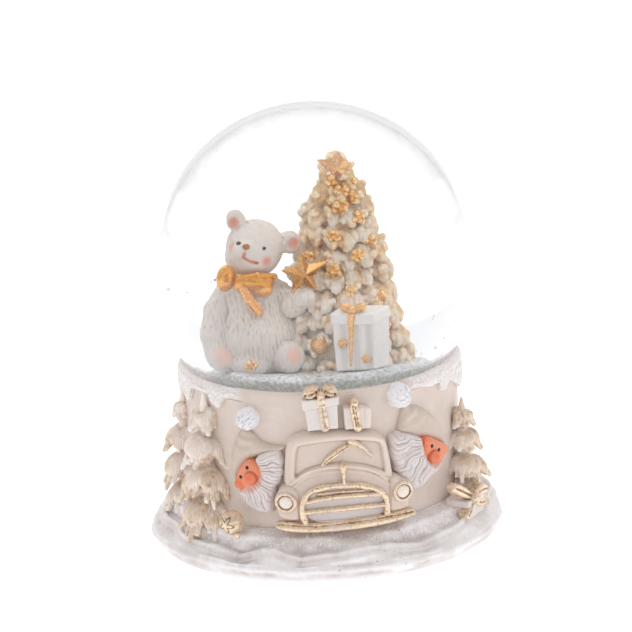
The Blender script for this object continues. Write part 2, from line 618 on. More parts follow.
wip = Relief((-7.5, 33.5), (12, 44), 0.16, 7.4, 2.6)
U, V = wip.U, wip.V
d1, t1 = along(U, V, [(-5.4, 35.2), (-3.4, 37.2), (-0.6, 39.2), (2.2, 40.8), (4.0, 41.6)])
w1 = 0.35 + 0.75 * np.sin(np.clip(t1, 0, 1) * math.pi) ** 0.7
d2, t2 = along(U, V, [(3.4, 42.3), (4.8, 41.8), (7.2, 39.9), (9.6, 37.0)])
w2 = 0.95 - 0.45 * t2
h = np.where(d1 < w1, 3.7 + 1.0 * np.sqrt(np.clip(1 - (d1 / w1) ** 2, 0, 1)) - 0.4 * np.exp(-((d1) / 0.22) ** 2), -3.0)
h = np.maximum(h, np.where(d2 < w2, 3.7 + 1.1 * np.sqrt(np.clip(1 - (d2 / w2) ** 2, 0, 1)), -3.0))
wip.H = h
sk = wip.skin().relax(1)
col, gilt = gilded(sk, 0.8, 0.4, 15)
fade = wip.at(sstep(4.5, 9.5, wip.U))
col = mixc(col, BEIGE, fade * 0.7)
piece("windscreen_wipers_sculpt", sk, col, gilt * (1 - fade * 0.7), GILT, ["windscreen_wipers"])

# ---- presents on the roof
g1 = Relief((-12.5, 45.4), (3, 58.2), 0.18, 7.2)
U, V = g1.U, g1.V
box_d = inside(U, V, [(-9.6, 53.6), (0.2, 55.2), (0.1, 46.8), (-8.9, 46.4)])
lid_d = inside(U, V, [(-10.4, 56.2), (0.8, 56.9), (0.8, 54.4), (-9.9, 52.9)])
h = np.where(box_d < 0, 4.0 + 0.5 * dome(box_d, 0.5), -3.0)
h = np.maximum(h, np.where(lid_d < 0, 4.6 + 0.6 * dome(lid_d, 0.5), -3.0))
g1.H = h
sk = g1.skin().relax(1)
b = sk.bulge(10)
col = mixc(np.broadcast_to(srgb(230, 221, 217), (len(b), 3)), srgb(176, 160, 156), sstep(0.0, -0.1, b) * 0.7)
piece("roof_gift_large_sculpt", sk, col, 0.0, RESIN, ["roof_gift_large"])
g2 = Relief((0.8, 44.2), (12.6, 54.4), 0.18, 6.4)
U, V = g2.U, g2.V
box_d = inside(U, V, [(1.9, 52.9), (8.2, 52.3), (8.0, 45.6), (2.1, 46.0)])
side_d = inside(U, V, [(8.0, 52.2), (10.9, 51.5), (10.4, 45.4), (7.8, 45.4)])
h = np.where(box_d < 0, 3.4 + 0.4 * dome(box_d, 0.5), -3.0)
h = np.maximum(h, np.where(side_d < 0, 2.5 + 0.7 * dome(side_d, 0.8) + 0.2 * np.exp(-((U - 9.2) / 0.3) ** 2), -3.0))
g2.H = h
sk = g2.skin().relax(1)
b = sk.bulge(10)
col = mixc(np.broadcast_to(srgb(229, 216, 209), (len(b), 3)), srgb(176, 160, 152), sstep(0.0, -0.1, b) * 0.7)
piece("roof_gift_small_sculpt", sk, col, 0.0, RESIN, ["roof_gift_small"])
rib = Relief((-12.5, 44.8), (9, 61.5), 0.16, 8.6, 1.2)
U, V = rib.U, rib.V
h = np.full(U.shape, -3.0)
d, t = along(U, V, [(-4.6, 57.0), (-4.2, 52.0), (-3.6, 47.4)])
h = np.maximum(h, np.where(d < 1.15, 4.9 + 0.5 * dome(d - 1.15, 0.5) - 0.3 * np.exp(-(d / 0.3) ** 2), -3.0))
for cu, cv, ru, rv, a in ((-7.5, 58.2, 2.7, 1.9, 18), (-1.8, 58.4, 2.4, 1.8, -24)):
    ca, sa = math.cos(math.radians(a)), math.sin(math.radians(a))
    x, y = (U - cu) * ca + (V - cv) * sa, -(U - cu) * sa + (V - cv) * ca
    q = np.sqrt((x / ru) ** 2 + (y / rv) ** 2)
    h = np.maximum(h, np.where(q < 1, 2.2 + 3.9 * np.sqrt(np.clip(1 - q ** 2, 0, 1)) - 1.0 * np.exp(-((y + 0.2) / 0.5) ** 2) * (q < 0.75), -3.0))
q = np.hypot(U + 4.5, V - 57.6)
h = np.maximum(h, np.where(q < 1.3, 4.4 + 2.2 * np.sqrt(np.clip(1 - (q / 1.3) ** 2, 0, 1)), -3.0))
q = np.hypot(U + 3.7, V - 47.2)
h = np.maximum(h, np.where(q < 1.35, 3.8 + 1.9 * np.sqrt(np.clip(1 - (q / 1.35) ** 2, 0, 1)), -3.0))
d, t = along(U, V, [(5.0, 53.0), (5.4, 50.0), (5.9, 46.4)])
h = np.maximum(h, np.where(d < 1.3, 3.9 + 0.7 * dome(d - 1.3, 0.6) - 0.5 * np.exp(-((d - 0.3) / 0.3) ** 2), -3.0))
q = np.hypot(U - 5.2, V - 54.2)
h = np.maximum(h, np.where(q < 1.45, 3.0 + 2.4 * np.sqrt(np.clip(1 - (q / 1.45) ** 2, 0, 1)), -3.0))
q = np.hypot(U - 6.1, V - 46.4)
h = np.maximum(h, np.where(q < 1.5, 3.0 + 2.0 * np.sqrt(np.clip(1 - (q / 1.5) ** 2, 0, 1)), -3.0))
rib.H = h + (noise2(U, V, 0.9, 3) - 0.5) * 0.5
sk = rib.skin().relax(1)
col, gilt = gilded(sk, 0.95, 0.45, 21)
piece("roof_gift_ribbons_sculpt", sk, col, gilt, GILT, ["roof_gift_ribbons"])

# ---- the gnomes
GNOMES = {
    "left": dict(
        hat=[(-31.2, 45.4), (-28.0, 44.6), (-25.8, 42.0), (-21.3, 40.6), (-16.4, 40.9), (-17.4, 39.0), (-22.4, 38.4), (-26.1, 37.0), (-28.8, 35.4), (-31.2, 33.0), (-32.9, 30.2), (-33.0, 27.4), (-33.0, 24.6), (-35.2, 27.2), (-36.4, 30.9), (-36.4, 34.8), (-35.0, 39.9), (-33.0, 43.8)],
        face=[(-28.1, 36.6), (-25.4, 35.7), (-23.7, 33.3), (-24.1, 30.1), (-26.5, 27.4), (-30.8, 26.6), (-33.0, 27.5), (-33.3, 30.0), (-31.7, 33.4), (-29.8, 35.6)],
        eyes=[(-28.2, 34.1), (-30.6, 30.9)], nose=(-27.0, 31.0), cheek=(-31.6, 28.3),
        beard=[(-25.6, 38.2), (-22.0, 39.6), (-19.1, 39.8), (-17.2, 38.8), (-16.9, 35.1), (-17.4, 31.2), (-20.1, 27.2), (-20.9, 23.7), (-20.8, 19.9), (-24.1, 19.2), (-27.4, 19.8), (-30.0, 21.0), (-31.9, 23.2), (-33.2, 26.4), (-29.9, 29.5), (-26.5, 30.5), (-25.5, 33.0), (-26.6, 36.5)],
        pom=(-28.7, 48.6, 3.5), centre=(-30.5, 33.5), down=-62),
    "right": dict(
        hat=[(22.2, 49.4), (26.3, 49.2), (31.0, 47.0), (35.8, 43.6), (39.6, 38.4), (41.2, 33.4), (40.6, 31.0), (38.2, 33.6), (35.0, 35.6), (31.0, 37.4), (28.5, 37.8), (25.8, 39.0), (22.9, 40.6), (19.9, 41.9), (21.0, 45.1)],
        face=[(27.6, 39.0), (30.4, 38.8), (33.8, 36.8), (38.4, 34.2), (40.0, 31.7), (37.4, 30.7), (35.3, 29.2), (31.9, 28.9), (29.2, 30.9), (27.9, 33.5), (27.4, 36.5)],
        eyes=[(30.6, 35.7), (33.5, 33.7)], nose=(31.0, 32.3), cheek=(28.4, 37.6),
        beard=[(16.3, 41.2), (19.2, 42.6), (22.4, 41.9), (25.8, 40.5), (28.2, 39.2), (28.8, 36.6), (29.6, 33.6), (31.0, 31.6), (33.0, 31.0), (35.8, 30.4), (37.8, 30.4), (34.6, 26.7), (29.9, 24.5), (26.7, 22.6), (23.4, 22.8), (20.5, 25.6), (18.5, 28.2), (17.2, 33.1), (16.2, 37.6)],
        pom=(21.1, 53.2, 3.7), centre=(33.0, 37.0), down=-118),
}
for side, g in GNOMES.items():
    us = [p[0] for p in g["hat"] + g["beard"]]
    box_lo, box_hi = (min(us) - 1.5, 17.5), (max(us) + 1.5, 52.5)
    hat = Relief(box_lo, box_hi, 0.2, 7.2)
    U, V = hat.U, hat.V
    d = inside(U, V, chaikin(g["hat"], 2))
    px, pz, pr = g["pom"]
    away = np.hypot(U - px, V - pz)
    h = 3.0 * dome(d, 3.2) + 0.1
    h = h + 0.30 * np.sin(away * 1.7 + 3.5 * noise2(U, V, 4.0, 3)) * sstep(17.0, 5.0, away) * sstep(0.0, -1.0, d)
    hat.H = np.where(d < 0, h, -3.0) + (noise2(U, V, 2.6, 4) - 0.5) * 0.25
    sk = hat.skin().relax(1)
    b = sk.bulge(14)
    col = mixc(np.broadcast_to(srgb(210, 194, 181), (len(b), 3)), BEIGE_D, sstep(0.0, -0.12, b) * 0.7)
    col = mixc(col, srgb(232, 222, 212), sstep(0.02, 0.12, b) * 0.6)
    piece("gnome_%s_hat_sculpt" % side, sk, col, 0.0, RESIN, ["gnome_%s_hat" % side])

    beard = Relief(box_lo, box_hi, 0.16, 7.6)
    U, V = beard.U, beard.V
    d = inside(U, V, chaikin(g["beard"], 2))
    cu, cv = g["centre"]
    rho, theta = np.hypot(U - cu, V - cv), np.arctan2(V - cv, U - cu)
    theta = np.mod(theta - math.radians(g["down"]) + math.pi, 2 * math.pi) - math.pi
    wobble = noise2(U, V, 3.6, 7) - 0.5
    phase = theta * 11.0 + wobble * 4.5 + rho * 0.10 * np.sign(theta)
    strands = 1 - np.abs(np.sin(phase)) ** 0.6
    fine = np.sin(theta * 46.0 + wobble * 12)
    ragged = d + 0.55 * np.abs(np.sin(phase)) - 0.2
    phase2 = theta * 27.0 + wobble * 9.0 + rho * 0.22 * np.sign(theta)
    ridges = 1 - np.abs(np.sin(phase2)) ** 0.8
    h = 0.3 + 3.4 * dome(ragged, 2.6) + (0.55 * (1 - strands) + 0.42 * (1 - ridges)) * sstep(0.3, -0.9, d) + 0.06 * fine
    face_d = inside(U, V, chaikin(g["face"], 2))
    h = h + 0.5 * np.exp(-((face_d - 1.2) / 1.0) ** 2)
    beard.H = np.where(ragged < 0, h, -3.0)
    sk = beard.skin().relax(1)
    b = sk.bulge(8)
    col = mixc(np.broadcast_to(srgb(228, 218, 216), (len(b), 3)), srgb(150, 138, 138), sstep(0.02, -0.07, b) * 0.7)
    near = beard.at(sstep(1.4, 0.2, face_d))
    col = mixc(col, srgb(238, 176, 150), near * 0.5)
    piece("gnome_%s_beard_sculpt" % side, sk, col, 0.0, RESIN, ["gnome_%s_beard" % side])

    face = Relief((min(p[0] for p in g["face"]) - 1, min(p[1] for p in g["face"]) - 1), (max(p[0] for p in g["face"]) + 1, max(p[1] for p in g["face"]) + 1), 0.14, 9.2)
    U, V = face.U, face.V
    d = inside(U, V, chaikin(g["face"], 2))
    h = 2.6 + 2.0 * dome(d, 2.2)
    nd = np.hypot(U - g["nose"][0], V - g["nose"][1])
    h = smax(h, np.where(nd < 1.95, 4.5 + 2.1 * np.sqrt(np.clip(1 - (nd / 1.95) ** 2, 0, 1)), 0.0), 0.35)
    cd = np.hypot(U - g["cheek"][0], V - g["cheek"][1])
    h = smax(h, np.where(cd < 1.6, 3.7 + 1.4 * np.sqrt(np.clip(1 - (cd / 1.6) ** 2, 0, 1)), 0.0), 0.4)
    eyes = np.minimum(*[np.hypot(U - e[0], V - e[1]) for e in g["eyes"]])
    h = h - 0.18 * sstep(1.0, 0.6, eyes) + 0.22 * sstep(0.55, 0.35, eyes)
    face.H = np.where(d < 0, h, -3.0)
    sk = face.skin().relax(1)
    b = sk.bulge(10)
    col = mixc(np.broadcast_to(CORAL, (len(b), 3)), srgb(250, 190, 158), sstep(0.0, 0.10, b) * 0.7)
    col = mixc(col, srgb(190, 78, 50), sstep(0.0, -0.10, b) * 0.75)
    col = mixc(col, srgb(232, 104, 70), face.at(np.maximum(sstep(2.2, 0.6, nd), sstep(3.0, 1.0, cd) * 0.7)) * 0.75)
    col = mixc(col, srgb(198, 84, 54), face.at(np.exp(-((nd - 2.0) / 0.28) ** 2)) * 0.7)
    col = mixc(col, BLACK, face.at(sstep(0.62, 0.48, eyes)))
    piece("gnome_%s_face_sculpt" % side, sk, col, 0.0, FIGURE, ["gnome_%s_face" % side])

    pu, pv, pr = g["pom"]
    pom = Relief((pu - pr - 1, pv - pr - 1), (pu + pr + 1, pv + pr + 1), 0.14, 7.4, -0.4)
    U, V = pom.U, pom.V
    q = np.hypot(U - pu, V - pv)
    q = q + (noise2(U, V, 1.5, 9) - 0.5) * 0.9
    h = np.where(q < pr, 1.6 + (pr - 0.1) * np.sqrt(np.clip(1 - (q / pr) ** 2, 0, 1)), -3.0)
    lumps = noise2(U, V, 0.55, 13, 1)
    curls = np.abs(noise2(U, V, 0.8, 17, 1) - 0.5)
    pom.H = h + 0.8 * sstep(0.3, 0.7, lumps) + 0.35 * sstep(0.0, 0.2, curls) - 0.5
    sk = pom.skin().relax(1)
    b = sk.bulge(6)
    col = mixc(np.broadcast_to(srgb(242, 240, 243), (len(b), 3)), srgb(170, 164, 178), sstep(0.0, -0.09, b) * 0.85)
    piece("gnome_%s_pompom_sculpt" % side, sk, col, 0.0, SNOWMAT, ["gnome_%s_pompom" % side])


# ------------------------------------------------------------------ firs on the drum
def polar(r, phi_deg, z):
    a = math.radians(phi_deg)
    return np.array([r * math.sin(a), -r * math.cos(a), z])


def fir_tree(name, axis, tiers, nodes, step=0.3, seed=1, lobes=9, lean=(0, 0), keep_r=None, cream=False, material=None, flat_top=None, plume=1.0):
    """drooping tiers of branch lobes, grooved like needles; axis = (x, y), tiers = (base z, radius, height)"""
    rng = np.random.RandomState(seed)
    x0, y0 = axis
    rmax = max(t[1] for t in tiers)
    z0, z1 = tiers[0][0] - 2.5, tiers[-1][0] + tiers[-1][2] + 1.5
    clay = Clay((x0 - rmax - 2.5, y0 - rmax - 2.5, z0), (x0 + rmax + 2.5 + abs(lean[0]), y0 + rmax + 2.5 + abs(lean[1]), z1), step)
    for i, (z, r, h) in enumerate(tiers):
        f = (z - tiers[0][0]) / max(tiers[-1][0] - tiers[0][0], 1)
        cx, cy = x0 + lean[0] * f, y0 + lean[1] * f
        if cream:
            clay.rod((cx, cy, z), (cx, cy, z + h), r * 0.74, r * 0.62, 0.8)
            n = max(5, int(round(6.283 * (r - 1.6) / 4.0)))
            off = rng.rand() * 6.28
            for j in range(n):
                a = off + 6.283 * j / n + rng.uniform(-0.14, 0.14)
                rr = (r - 2.0) * rng.uniform(0.93, 1.04)
                q = (cx + rr * math.cos(a), cy + rr * math.sin(a), z + 0.42 * h + rng.uniform(-0.6, 0.6))
                lobe = rot(rng.uniform(-25, 25), 38 + rng.uniform(-16, 16), math.degrees(a))
                sz = rng.uniform(0.72, 1.22)
                clay.ball(q, (2.8 * sz, 2.0 * sz, 1.8 * sz), lobe, 0.5)
                q2 = (q[0] + rng.uniform(-1.6, 1.6), q[1] + rng.uniform(-1.6, 1.6), q[2] + rng.uniform(-1.8, 1.8))
                clay.ball(q2, (1.7, 1.3, 1.3), rot(rng.uniform(0, 90), 40, math.degrees(a)), 0.35)
                for _ in range(4):
                    e_ = rng.normal(size=3)
                    e_ /= np.linalg.norm(e_)
                    clay.ball((q[0] + 2.0 * sz * e_[0] + 0.5 * math.cos(a), q[1] + 2.0 * sz * e_[1] + 0.5 * math.sin(a), q[2] + 1.7 * sz * e_[2]), rng.uniform(0.7, 1.15), k=0.3)
                clay.ball((q[0] + 0.9 * math.cos(a), q[1] + 0.9 * math.sin(a), q[2] - 1.1), (2.0 * sz, 1.35 * sz, 1.4 * sz), rot(0, 56, math.degrees(a) + rng.uniform(-18, 18)), 0.25)
            continue
        last = i == len(tiers) - 1
        if i == 0:
            clay.rod((cx, cy, z - 1.0), (cx, cy, z + 0.4 * h), r * 0.66, r * 0.6, 0.8)
        clay.rod((cx, cy, z + 0.30 * h), (cx, cy, z + h * (1.05 if last else 0.95)), r * 0.52, 0.5 if last else r * 0.16, 0.8)
        n = max(4, int(round((3.6 + 3.0 * r / rmax))))
        off = rng.rand() * 6.28
        for j in range(n):
            a = off + 6.283 * j / n + rng.uniform(-0.22, 0.22)
            rr = r * rng.uniform(0.80, 1.06)
            ca, sa = math.cos(a), math.sin(a)
            down = rng.uniform(34, 50)
            q = (cx + 0.50 * rr * ca, cy + 0.50 * rr * sa, z + 0.42 * h + rng.uniform(-0.07, 0.07) * h)
            tilt = rot(0, down, math.degrees(a))
            wide = 2.9 * rr / n
            clay.ball(q, (rr * 0.54, wide, 1.7 + 0.07 * rr), tilt, 0.5)
            for m_ in range(3):
                b_ = a + (m_ - 1.0) * 0.24 * 6.0 / n + rng.uniform(-0.06, 0.06)
                L = rr * (1.04 if m_ == 1 else 0.90) * rng.uniform(0.95, 1.03)
                p0 = (cx + 0.55 * rr * math.cos(b_), cy + 0.55 * rr * math.sin(b_), z + 0.38 * h)
                p1 = (cx + L * math.cos(b_), cy + L * math.sin(b_), z + 0.38 * h - (L - 0.55 * rr) * math.tan(math.radians(down + 10)))
                clay.rod(p0, p1, 1.35, 0.75, 0.55)
    P, Q = clay.mesh()
    sk = Skin(P, Q)
    sk.relax(1)
    c = np.array([x0, y0, 0.0])
    f = np.clip((sk.P[:, 2] - tiers[0][0]) / max(tiers[-1][0] - tiers[0][0], 1), 0, 1)
    ax = np.stack([x0 + lean[0] * f, y0 + lean[1] * f], 1)
    ang = np.arctan2(sk.P[:, 1] - ax[:, 1], sk.P[:, 0] - ax[:, 0])
    rad = np.hypot(sk.P[:, 0] - ax[:, 0], sk.P[:, 1] - ax[:, 1])
    crest0 = sk.bulge(16)
    wob = fbm(sk.P, 3.0, seed) - 0.5
    needles = np.sin(ang * (30 + 26 * rmax / 10.0) + wob * (16.0 if cream else 11.0))
    deep = fbm(sk.P * [1, 1, 0.4], 0.9, seed + 9, 2) - 0.5
    sk.push((0.12 * needles + (0.7 if cream else 0.45) * deep) * sstep(0.8, 2.5, rad) - 0.05)
    crest = sk.bulge(7)
    base = srgb(253, 238, 218) if cream else srgb(244, 230, 219)
    col = mixc(np.broadcast_to(base, (len(crest), 3)), srgb(250, 247, 243), sstep(0.02, 0.16, crest0) * 0.6)
    col = mixc(col, srgb(220, 182, 138) if cream else srgb(184, 154, 132), sstep(0.02, -0.16, crest0) * 0.6 + sstep(0.0, -0.07, crest) * 0.3)
    patch = sstep(0.50, 0.64, fbm(sk.P, 4.2 if cream else 7.0, seed + 3))
    if cream:
        patch = patch * sstep(-14.0, 3.0, sk.P[:, 0] - ax[:, 0] + 8.0 * f)
        patch = np.maximum(patch, sstep(0.74, 0.92, f + 0.3 * wob))
        patch = np.maximum(patch, sstep(4.0, 9.0, sk.P[:, 0] - ax[:, 0]) * 0.5)
        patch = patch * (0.45 + 0.55 * sstep(-0.04, 0.05, crest0 + crest))
        tone = mixc(np.broadcast_to(srgb(232, 182, 118), (len(crest), 3)), srgb(252, 226, 186), sstep(0.02, 0.14, crest0))
        tone = mixc(tone, srgb(150, 98, 54), sstep(0.0, -0.10, crest0) * 0.85)
    else:
        patch = sstep(0.47, 0.58, fbm(sk.P, 7.0, seed + 3)) * sstep(-0.02, 0.06, crest0) * 0.6
        tone = mixc(np.broadcast_to(srgb(226, 198, 164), (len(crest), 3)), srgb(146, 108, 74), sstep(0.60, 0.74, fbm(sk.P, 1.2, seed + 6)))
    col = mixc(col, tone, patch)
    if keep_r is not None:
        rr = np.hypot(sk.P[:, 0], sk.P[:, 1])
        low = rr < keep_r
        k = np.where(low, keep_r / np.maximum(rr, 1e-6), 1.0)
        sk.P[:, 0] *= k
        sk.P[:, 1] *= k
        sk.renormal()
    return piece(name, sk, col, patch * 0.8, material or RESIN, nodes)


FIRS = [("fir_left_sculpt", 43.4, -61.0, [(10.8, 9.6, 13.4), (21.6, 9.5, 13.2), (32.4, 8.0, 12.0), (41.6, 4.6, 11.2)], ["fir_left"], 21),
        ("fir_far_left_sculpt", 42.8, -91.0, [(10.2, 8.6, 12.6), (20.0, 8.0, 12.2), (29.8, 6.4, 11.2), (38.4, 3.8, 10.6)], ["fir_far_left"], 22),
        ("fir_right_sculpt", 44.8, 66.5, [(10.8, 8.6, 11.4), (19.4, 7.8, 11.2), (28.0, 6.0, 10.4), (35.4, 3.6, 8.6)], ["fir_right"], 23),
        ("fir_back_a_sculpt", 43.6, -146.0, [(10.4, 8.6, 12.0), (19.6, 7.8, 11.6), (28.6, 6.0, 10.8), (36.4, 3.6, 9.0)], ["firs_back"], 24),
        ("fir_back_b_sculpt", 43.6, 174.0, [(10.4, 7.6, 10.4), (18.4, 6.4, 10.0), (26.2, 4.2, 10.6)], ["firs_back"], 25),
        ("fir_back_c_sculpt", 43.6, 131.0, [(10.4, 8.6, 12.0), (19.8, 7.8, 11.6), (29.0, 6.0, 10.8), (37.0, 3.6, 9.0)], ["firs_back"], 26)]
for name, r, phi, tiers, cad, seed in FIRS:
    c = polar(r, phi, 0)
    fir_tree(name, (c[0], c[1]), tiers, cad, 0.3, seed, 9, keep_r=41.7)


# ------------------------------------------------------------------ snow round the foot and on the rim, as turned height fields
def ring_mesh(name, profile, n_phi, n_s, nodes, material, paint):
    """profile(phi, s) -> (r, z) arrays for a closed section, s in 0..1"""
    phi = np.linspace(0, 2 * math.pi, n_phi, endpoint=False)
    s = np.linspace(0, 1, n_s, endpoint=False)
    PH, S = np.meshgrid(phi, s, indexing="ij")
    R, Z = profile(PH, S)
    P = np.stack([R * np.sin(PH), -R * np.cos(PH), Z], -1).reshape(-1, 3)
    i, j = np.meshgrid(np.arange(n_phi), np.arange(n_s), indexing="ij")
    i2, j2 = (i + 1) % n_phi, (j + 1) % n_s
    Q = np.stack([i * n_s + j, i2 * n_s + j, i2 * n_s + j2, i * n_s + j2], -1).reshape(-1, 4)
    a, b, c, e = (P[Q[:, k]] for k in range(4))
    if (np.einsum("ij,ij->i", a, np.cross(b, c)) + np.einsum("ij,ij->i", a, np.cross(c, e))).sum() < 0:
        Q = Q[:, ::-1].copy()
    sk = Skin(P, Q)
    col, gilt = paint(sk)
    return piece(name, sk, col, gilt, material, nodes)


def section(S, pts):
    """walks a closed section given as (r, z) arrays per corner, s = 0..1"""
    n = len(pts)
    t = S * n
    i = np.floor(t).astype(int) % n
    f = t - np.floor(t)
    R = np.zeros(S.shape)
    Z = np.zeros(S.shape)
    for k in range(n):
        m = i == k
        a, b = pts[k], pts[(k + 1) % n]
        R[m] = (a[0] * (1 - f) + b[0] * f)[m]
        Z[m] = (a[1] * (1 - f) + b[1] * f)[m]
    return R, Z


LIP_U = np.array([-70, -52, -45, -38, -31, -25, -19, -12, -4, 6, 14, 22, 30, 40, 52, 70], float)
LIP_Z = np.array([9.8, 9.4, 9.2, 8.4, 6.6, 8.8, 10.2, 8.0, 9.2, 10.6, 9.2, 8.2, 9.4, 10.8, 11.2, 9.8], float)


def wave(phi, base, amp, seed):
    out = np.zeros(phi.shape)
    rng = np.random.RandomState(seed)
    for k in (3, 5, 7, 11, 16):
        out = out + rng.uniform(-1, 1) * np.sin(k * phi + rng.uniform(0, 6.28)) / (0.6 + 0.12 * k)
    return base + amp * out


def ground_profile(PH, S):
    p = np.mod(PH + math.pi, 2 * math.pi) - math.pi
    u = p * 45.0
    lip = wave(PH, 9.4, 0.7, 5)
    front = np.interp(u, LIP_U, LIP_Z)
    f = sstep(70.0, 55.0, np.abs(u))
    lip = lip * (1 - f) + front * f
    top = 14.2 + wave(PH, 0.0, 0.5, 8)
    edge = 55.0 + wave(PH, -0.45, 0.42, 9)
    lip_r = 50.3 + wave(PH, 0.0, 1.1, 12)
    zero = np.zeros(PH.shape)
    pts = [(41.6 + zero, 0.82 + zero), (51.2 + zero, 0.35 + zero), (52.9 + zero, 1.1 + zero), (edge, 4.4 + 0.3 * (edge - 54.6)), (edge - 0.9, 5.9 + zero), (lip_r + 2.1, lip - 2.3), (lip_r + 0.9, lip - 1.1), (lip_r + 0.55, lip + 0.1), (lip_r + 0.1, lip + 0.42),
           (lip_r - 0.45, lip + 0.1), (lip_r - 0.9, lip - 0.35), (lip_r - 2.0, lip + 0.35), (46.5 + zero, top - 1.6), (44.0 + zero, top - 0.3), (41.6 + zero, top)]
    return section(S, pts)


def ground_paint(sk):
    rr = np.hypot(sk.P[:, 0], sk.P[:, 1])
    up = sk.N[:, 2]
    sk.relax(3)
    skin_mask = (rr > 42.2) * 1.0
    clump = fbm(sk.P, 1.4, 5) - 0.5
    big = fbm(sk.P, 6.5, 7, 2) - 0.5
    shelf = sstep(49.8, 48.4, rr)
    sk.push((0.16 * clump + 1.5 * big) * skin_mask * sstep(1.0, 3.0, sk.P[:, 2]))
    grains = fbm(sk.P, 0.45, 35, 2)
    sk.push(0.22 * sstep(0.55, 0.75, grains) * skin_mask * sstep(9.0, 11.0, sk.P[:, 2]) * shelf)
    b = sk.bulge(14)
    col = mixc(np.broadcast_to(srgb(232, 226, 225), (len(b), 3)), srgb(248, 246, 248), sstep(0.0, 0.10, b) * 0.9)
    col = mixc(col, srgb(192, 182, 180), sstep(0.0, -0.10, b) * 0.6)
    col = mixc(col, srgb(206, 196, 190), sstep(0.56, 0.70, fbm(sk.P, 9.0, 37)) * 0.35)
    specks = (fbm(sk.P, 0.5, 31, 1) > 0.93) * 1.0
    col = mixc(col, srgb(140, 108, 84), specks * 0.5)
    shine = sstep(0.72, 0.80, grains) * shelf
    col = mixc(col, srgb(255, 255, 255), shine)
    return col, shine * 0.0


ring_mesh("snow_ground_sculpt", ground_profile, 1150, 104, ["snow_ground"], SNOWMAT, ground_paint)

RIM_U = np.array([-141, -128, -112, -100, -88, -76, -70.9, -65, -60.3, -58.5, -56.0, -50, -45.4, -44.1, -40.9, -38.2, -34, -30.6, -10, 11.2, 17.6, 24.0, 27.6, 35.2, 39.9, 41.0, 43.5, 46.7, 52.6, 60, 72, 84, 96, 110, 124, 141], float)
RIM_Z = np.array([50.0, 44.5, 49.5, 45.5, 50.2, 46.0, 50.2, 50.5, 48.2, 48.6, 53.2, 53.6, 53.4, 51.0, 49.7, 53.6, 54.8, 54.4, 53.8, 54.0, 54.8, 54.6, 54.2, 52.7, 52.6, 49.6, 49.4, 51.5, 49.0, 45.5, 50.2, 46.5, 49.8, 45.2, 49.6, 50.0], float)


def rim_profile(PH, S):
    p = np.mod(PH + math.pi, 2 * math.pi) - math.pi
    u = p * 45.0
    low = np.interp(u, RIM_U, RIM_Z)
    ker = np.array([1, 2, 3, 2, 1.0])
    low1 = low[:, 0]
    low1 = np.convolve(np.concatenate([low1[-2:], low1, low1[:2]]), ker / ker.sum(), "valid")
    low = np.broadcast_to(low1[:, None], low.shape)
    bare = sstep(-35.0, -29.0, u) * sstep(28.0, 23.0, u)
    low = low * (1 - bare) + 52.6 * bare
    out = (43.75 + wave(PH, 0.0, 0.16, 15)) * (1 - bare) + 42.02 * bare
    crown = 57.0 + wave(PH, 0.0, 0.25, 17) * (1 - bare)
    zero = np.zeros(PH.shape)
    pts = [(41.5 + zero, np.minimum(low + 0.6, 53.0)), (42.6 - 0.58 * bare, low + 0.05), (43.4 - 1.38 * bare, low + 0.35), (out, low + 1.6), (out, 0.5 * (low + 1.6) + 0.5 * (crown - 1.8)), (out - 0.15 * (1 - bare), crown - 1.8 + 0.6 * bare), (out - 0.9 + 0.55 * bare, crown - 0.5 + 0.2 * bare),
           (42.2 - 0.9 * bare, crown), (41.2 + zero, crown + 0.1), (40.4 + zero, crown - 0.3), (39.5 + zero, 54.9 + zero), (38.9 + zero, 53.6 + zero), (40.2 + zero, 53.25 + zero)]
    return section(S, pts)


def rim_paint(sk):
    sk.relax(2)
    rr = np.hypot(sk.P[:, 0], sk.P[:, 1])
    uu = np.arctan2(sk.P[:, 0], -sk.P[:, 1]) * 45.0
    bare = sstep(-34.0, -30.0, uu) * sstep(27.5, 24.0, uu)
    m = (sstep(41.9, 42.6, rr) + sstep(56.0, 56.8, sk.P[:, 2]) * (rr > 40.9)) * (1 - bare)
    sk.push((0.45 * (fbm(sk.P, 0.9, 51) - 0.5) + 0.35 * (fbm(sk.P, 3.0, 52) - 0.5)) * np.clip(m, 0, 1))
    b = sk.bulge(6)
    col = mixc(np.broadcast_to(srgb(233, 225, 222), (len(b), 3)), srgb(249, 244, 243), sstep(0.0, 0.05, b) * 0.8)
    col = mixc(col, srgb(198, 190, 190), sstep(0.0, -0.06, b) * 0.6)
    return mixc(col, srgb(222, 207, 197), bare), 0.0


ring_mesh("rim_snow_sculpt", rim_profile, 1100, 78, ["rim_snow"], SNOWMAT, rim_paint)

# ------------------------------------------------------------------ bauble, present and bow on the ground
c = polar(49.2, -41.6, 17.0)
clay = Clay(c - 6.5, c + 6.5, 0.2)
clay.ball(c, 3.75, k=0.2)
ax = polar(1.0, -39.0, 0) * 0.25 + np.array([0.45, -0.1, -0.85])
ax /= np.linalg.norm(ax)
for k in range(3):
    clay.rod(c + ax * (3.5 + 0.35 * k), c + ax * (3.8 + 0.35 * k), 1.15 - 0.12 * k, None, 0.15)
P, Q = clay.mesh()
sk = Skin(P, Q).relax(1)
front = polar(1.0, -41.6, 0.0)
e1 = np.array([math.cos(math.radians(-41.6)), math.sin(math.radians(-41.6)), 0.0])
q = (sk.P - c) / 3.75
a = np.arctan2(q[:, 2], q @ e1)
rr = np.hypot(q @ e1, q[:, 2])
facing = (q @ front) > 0
star = 0.28 + 0.42 * np.abs(np.cos(a * 2.5 + 0.4)) ** 2.2
groove = np.exp(-((rr - star) / 0.07) ** 2) * facing
sk.push(-0.28 * groove)
col, gilt = gilded(sk, 0.95, 0.3, 41)
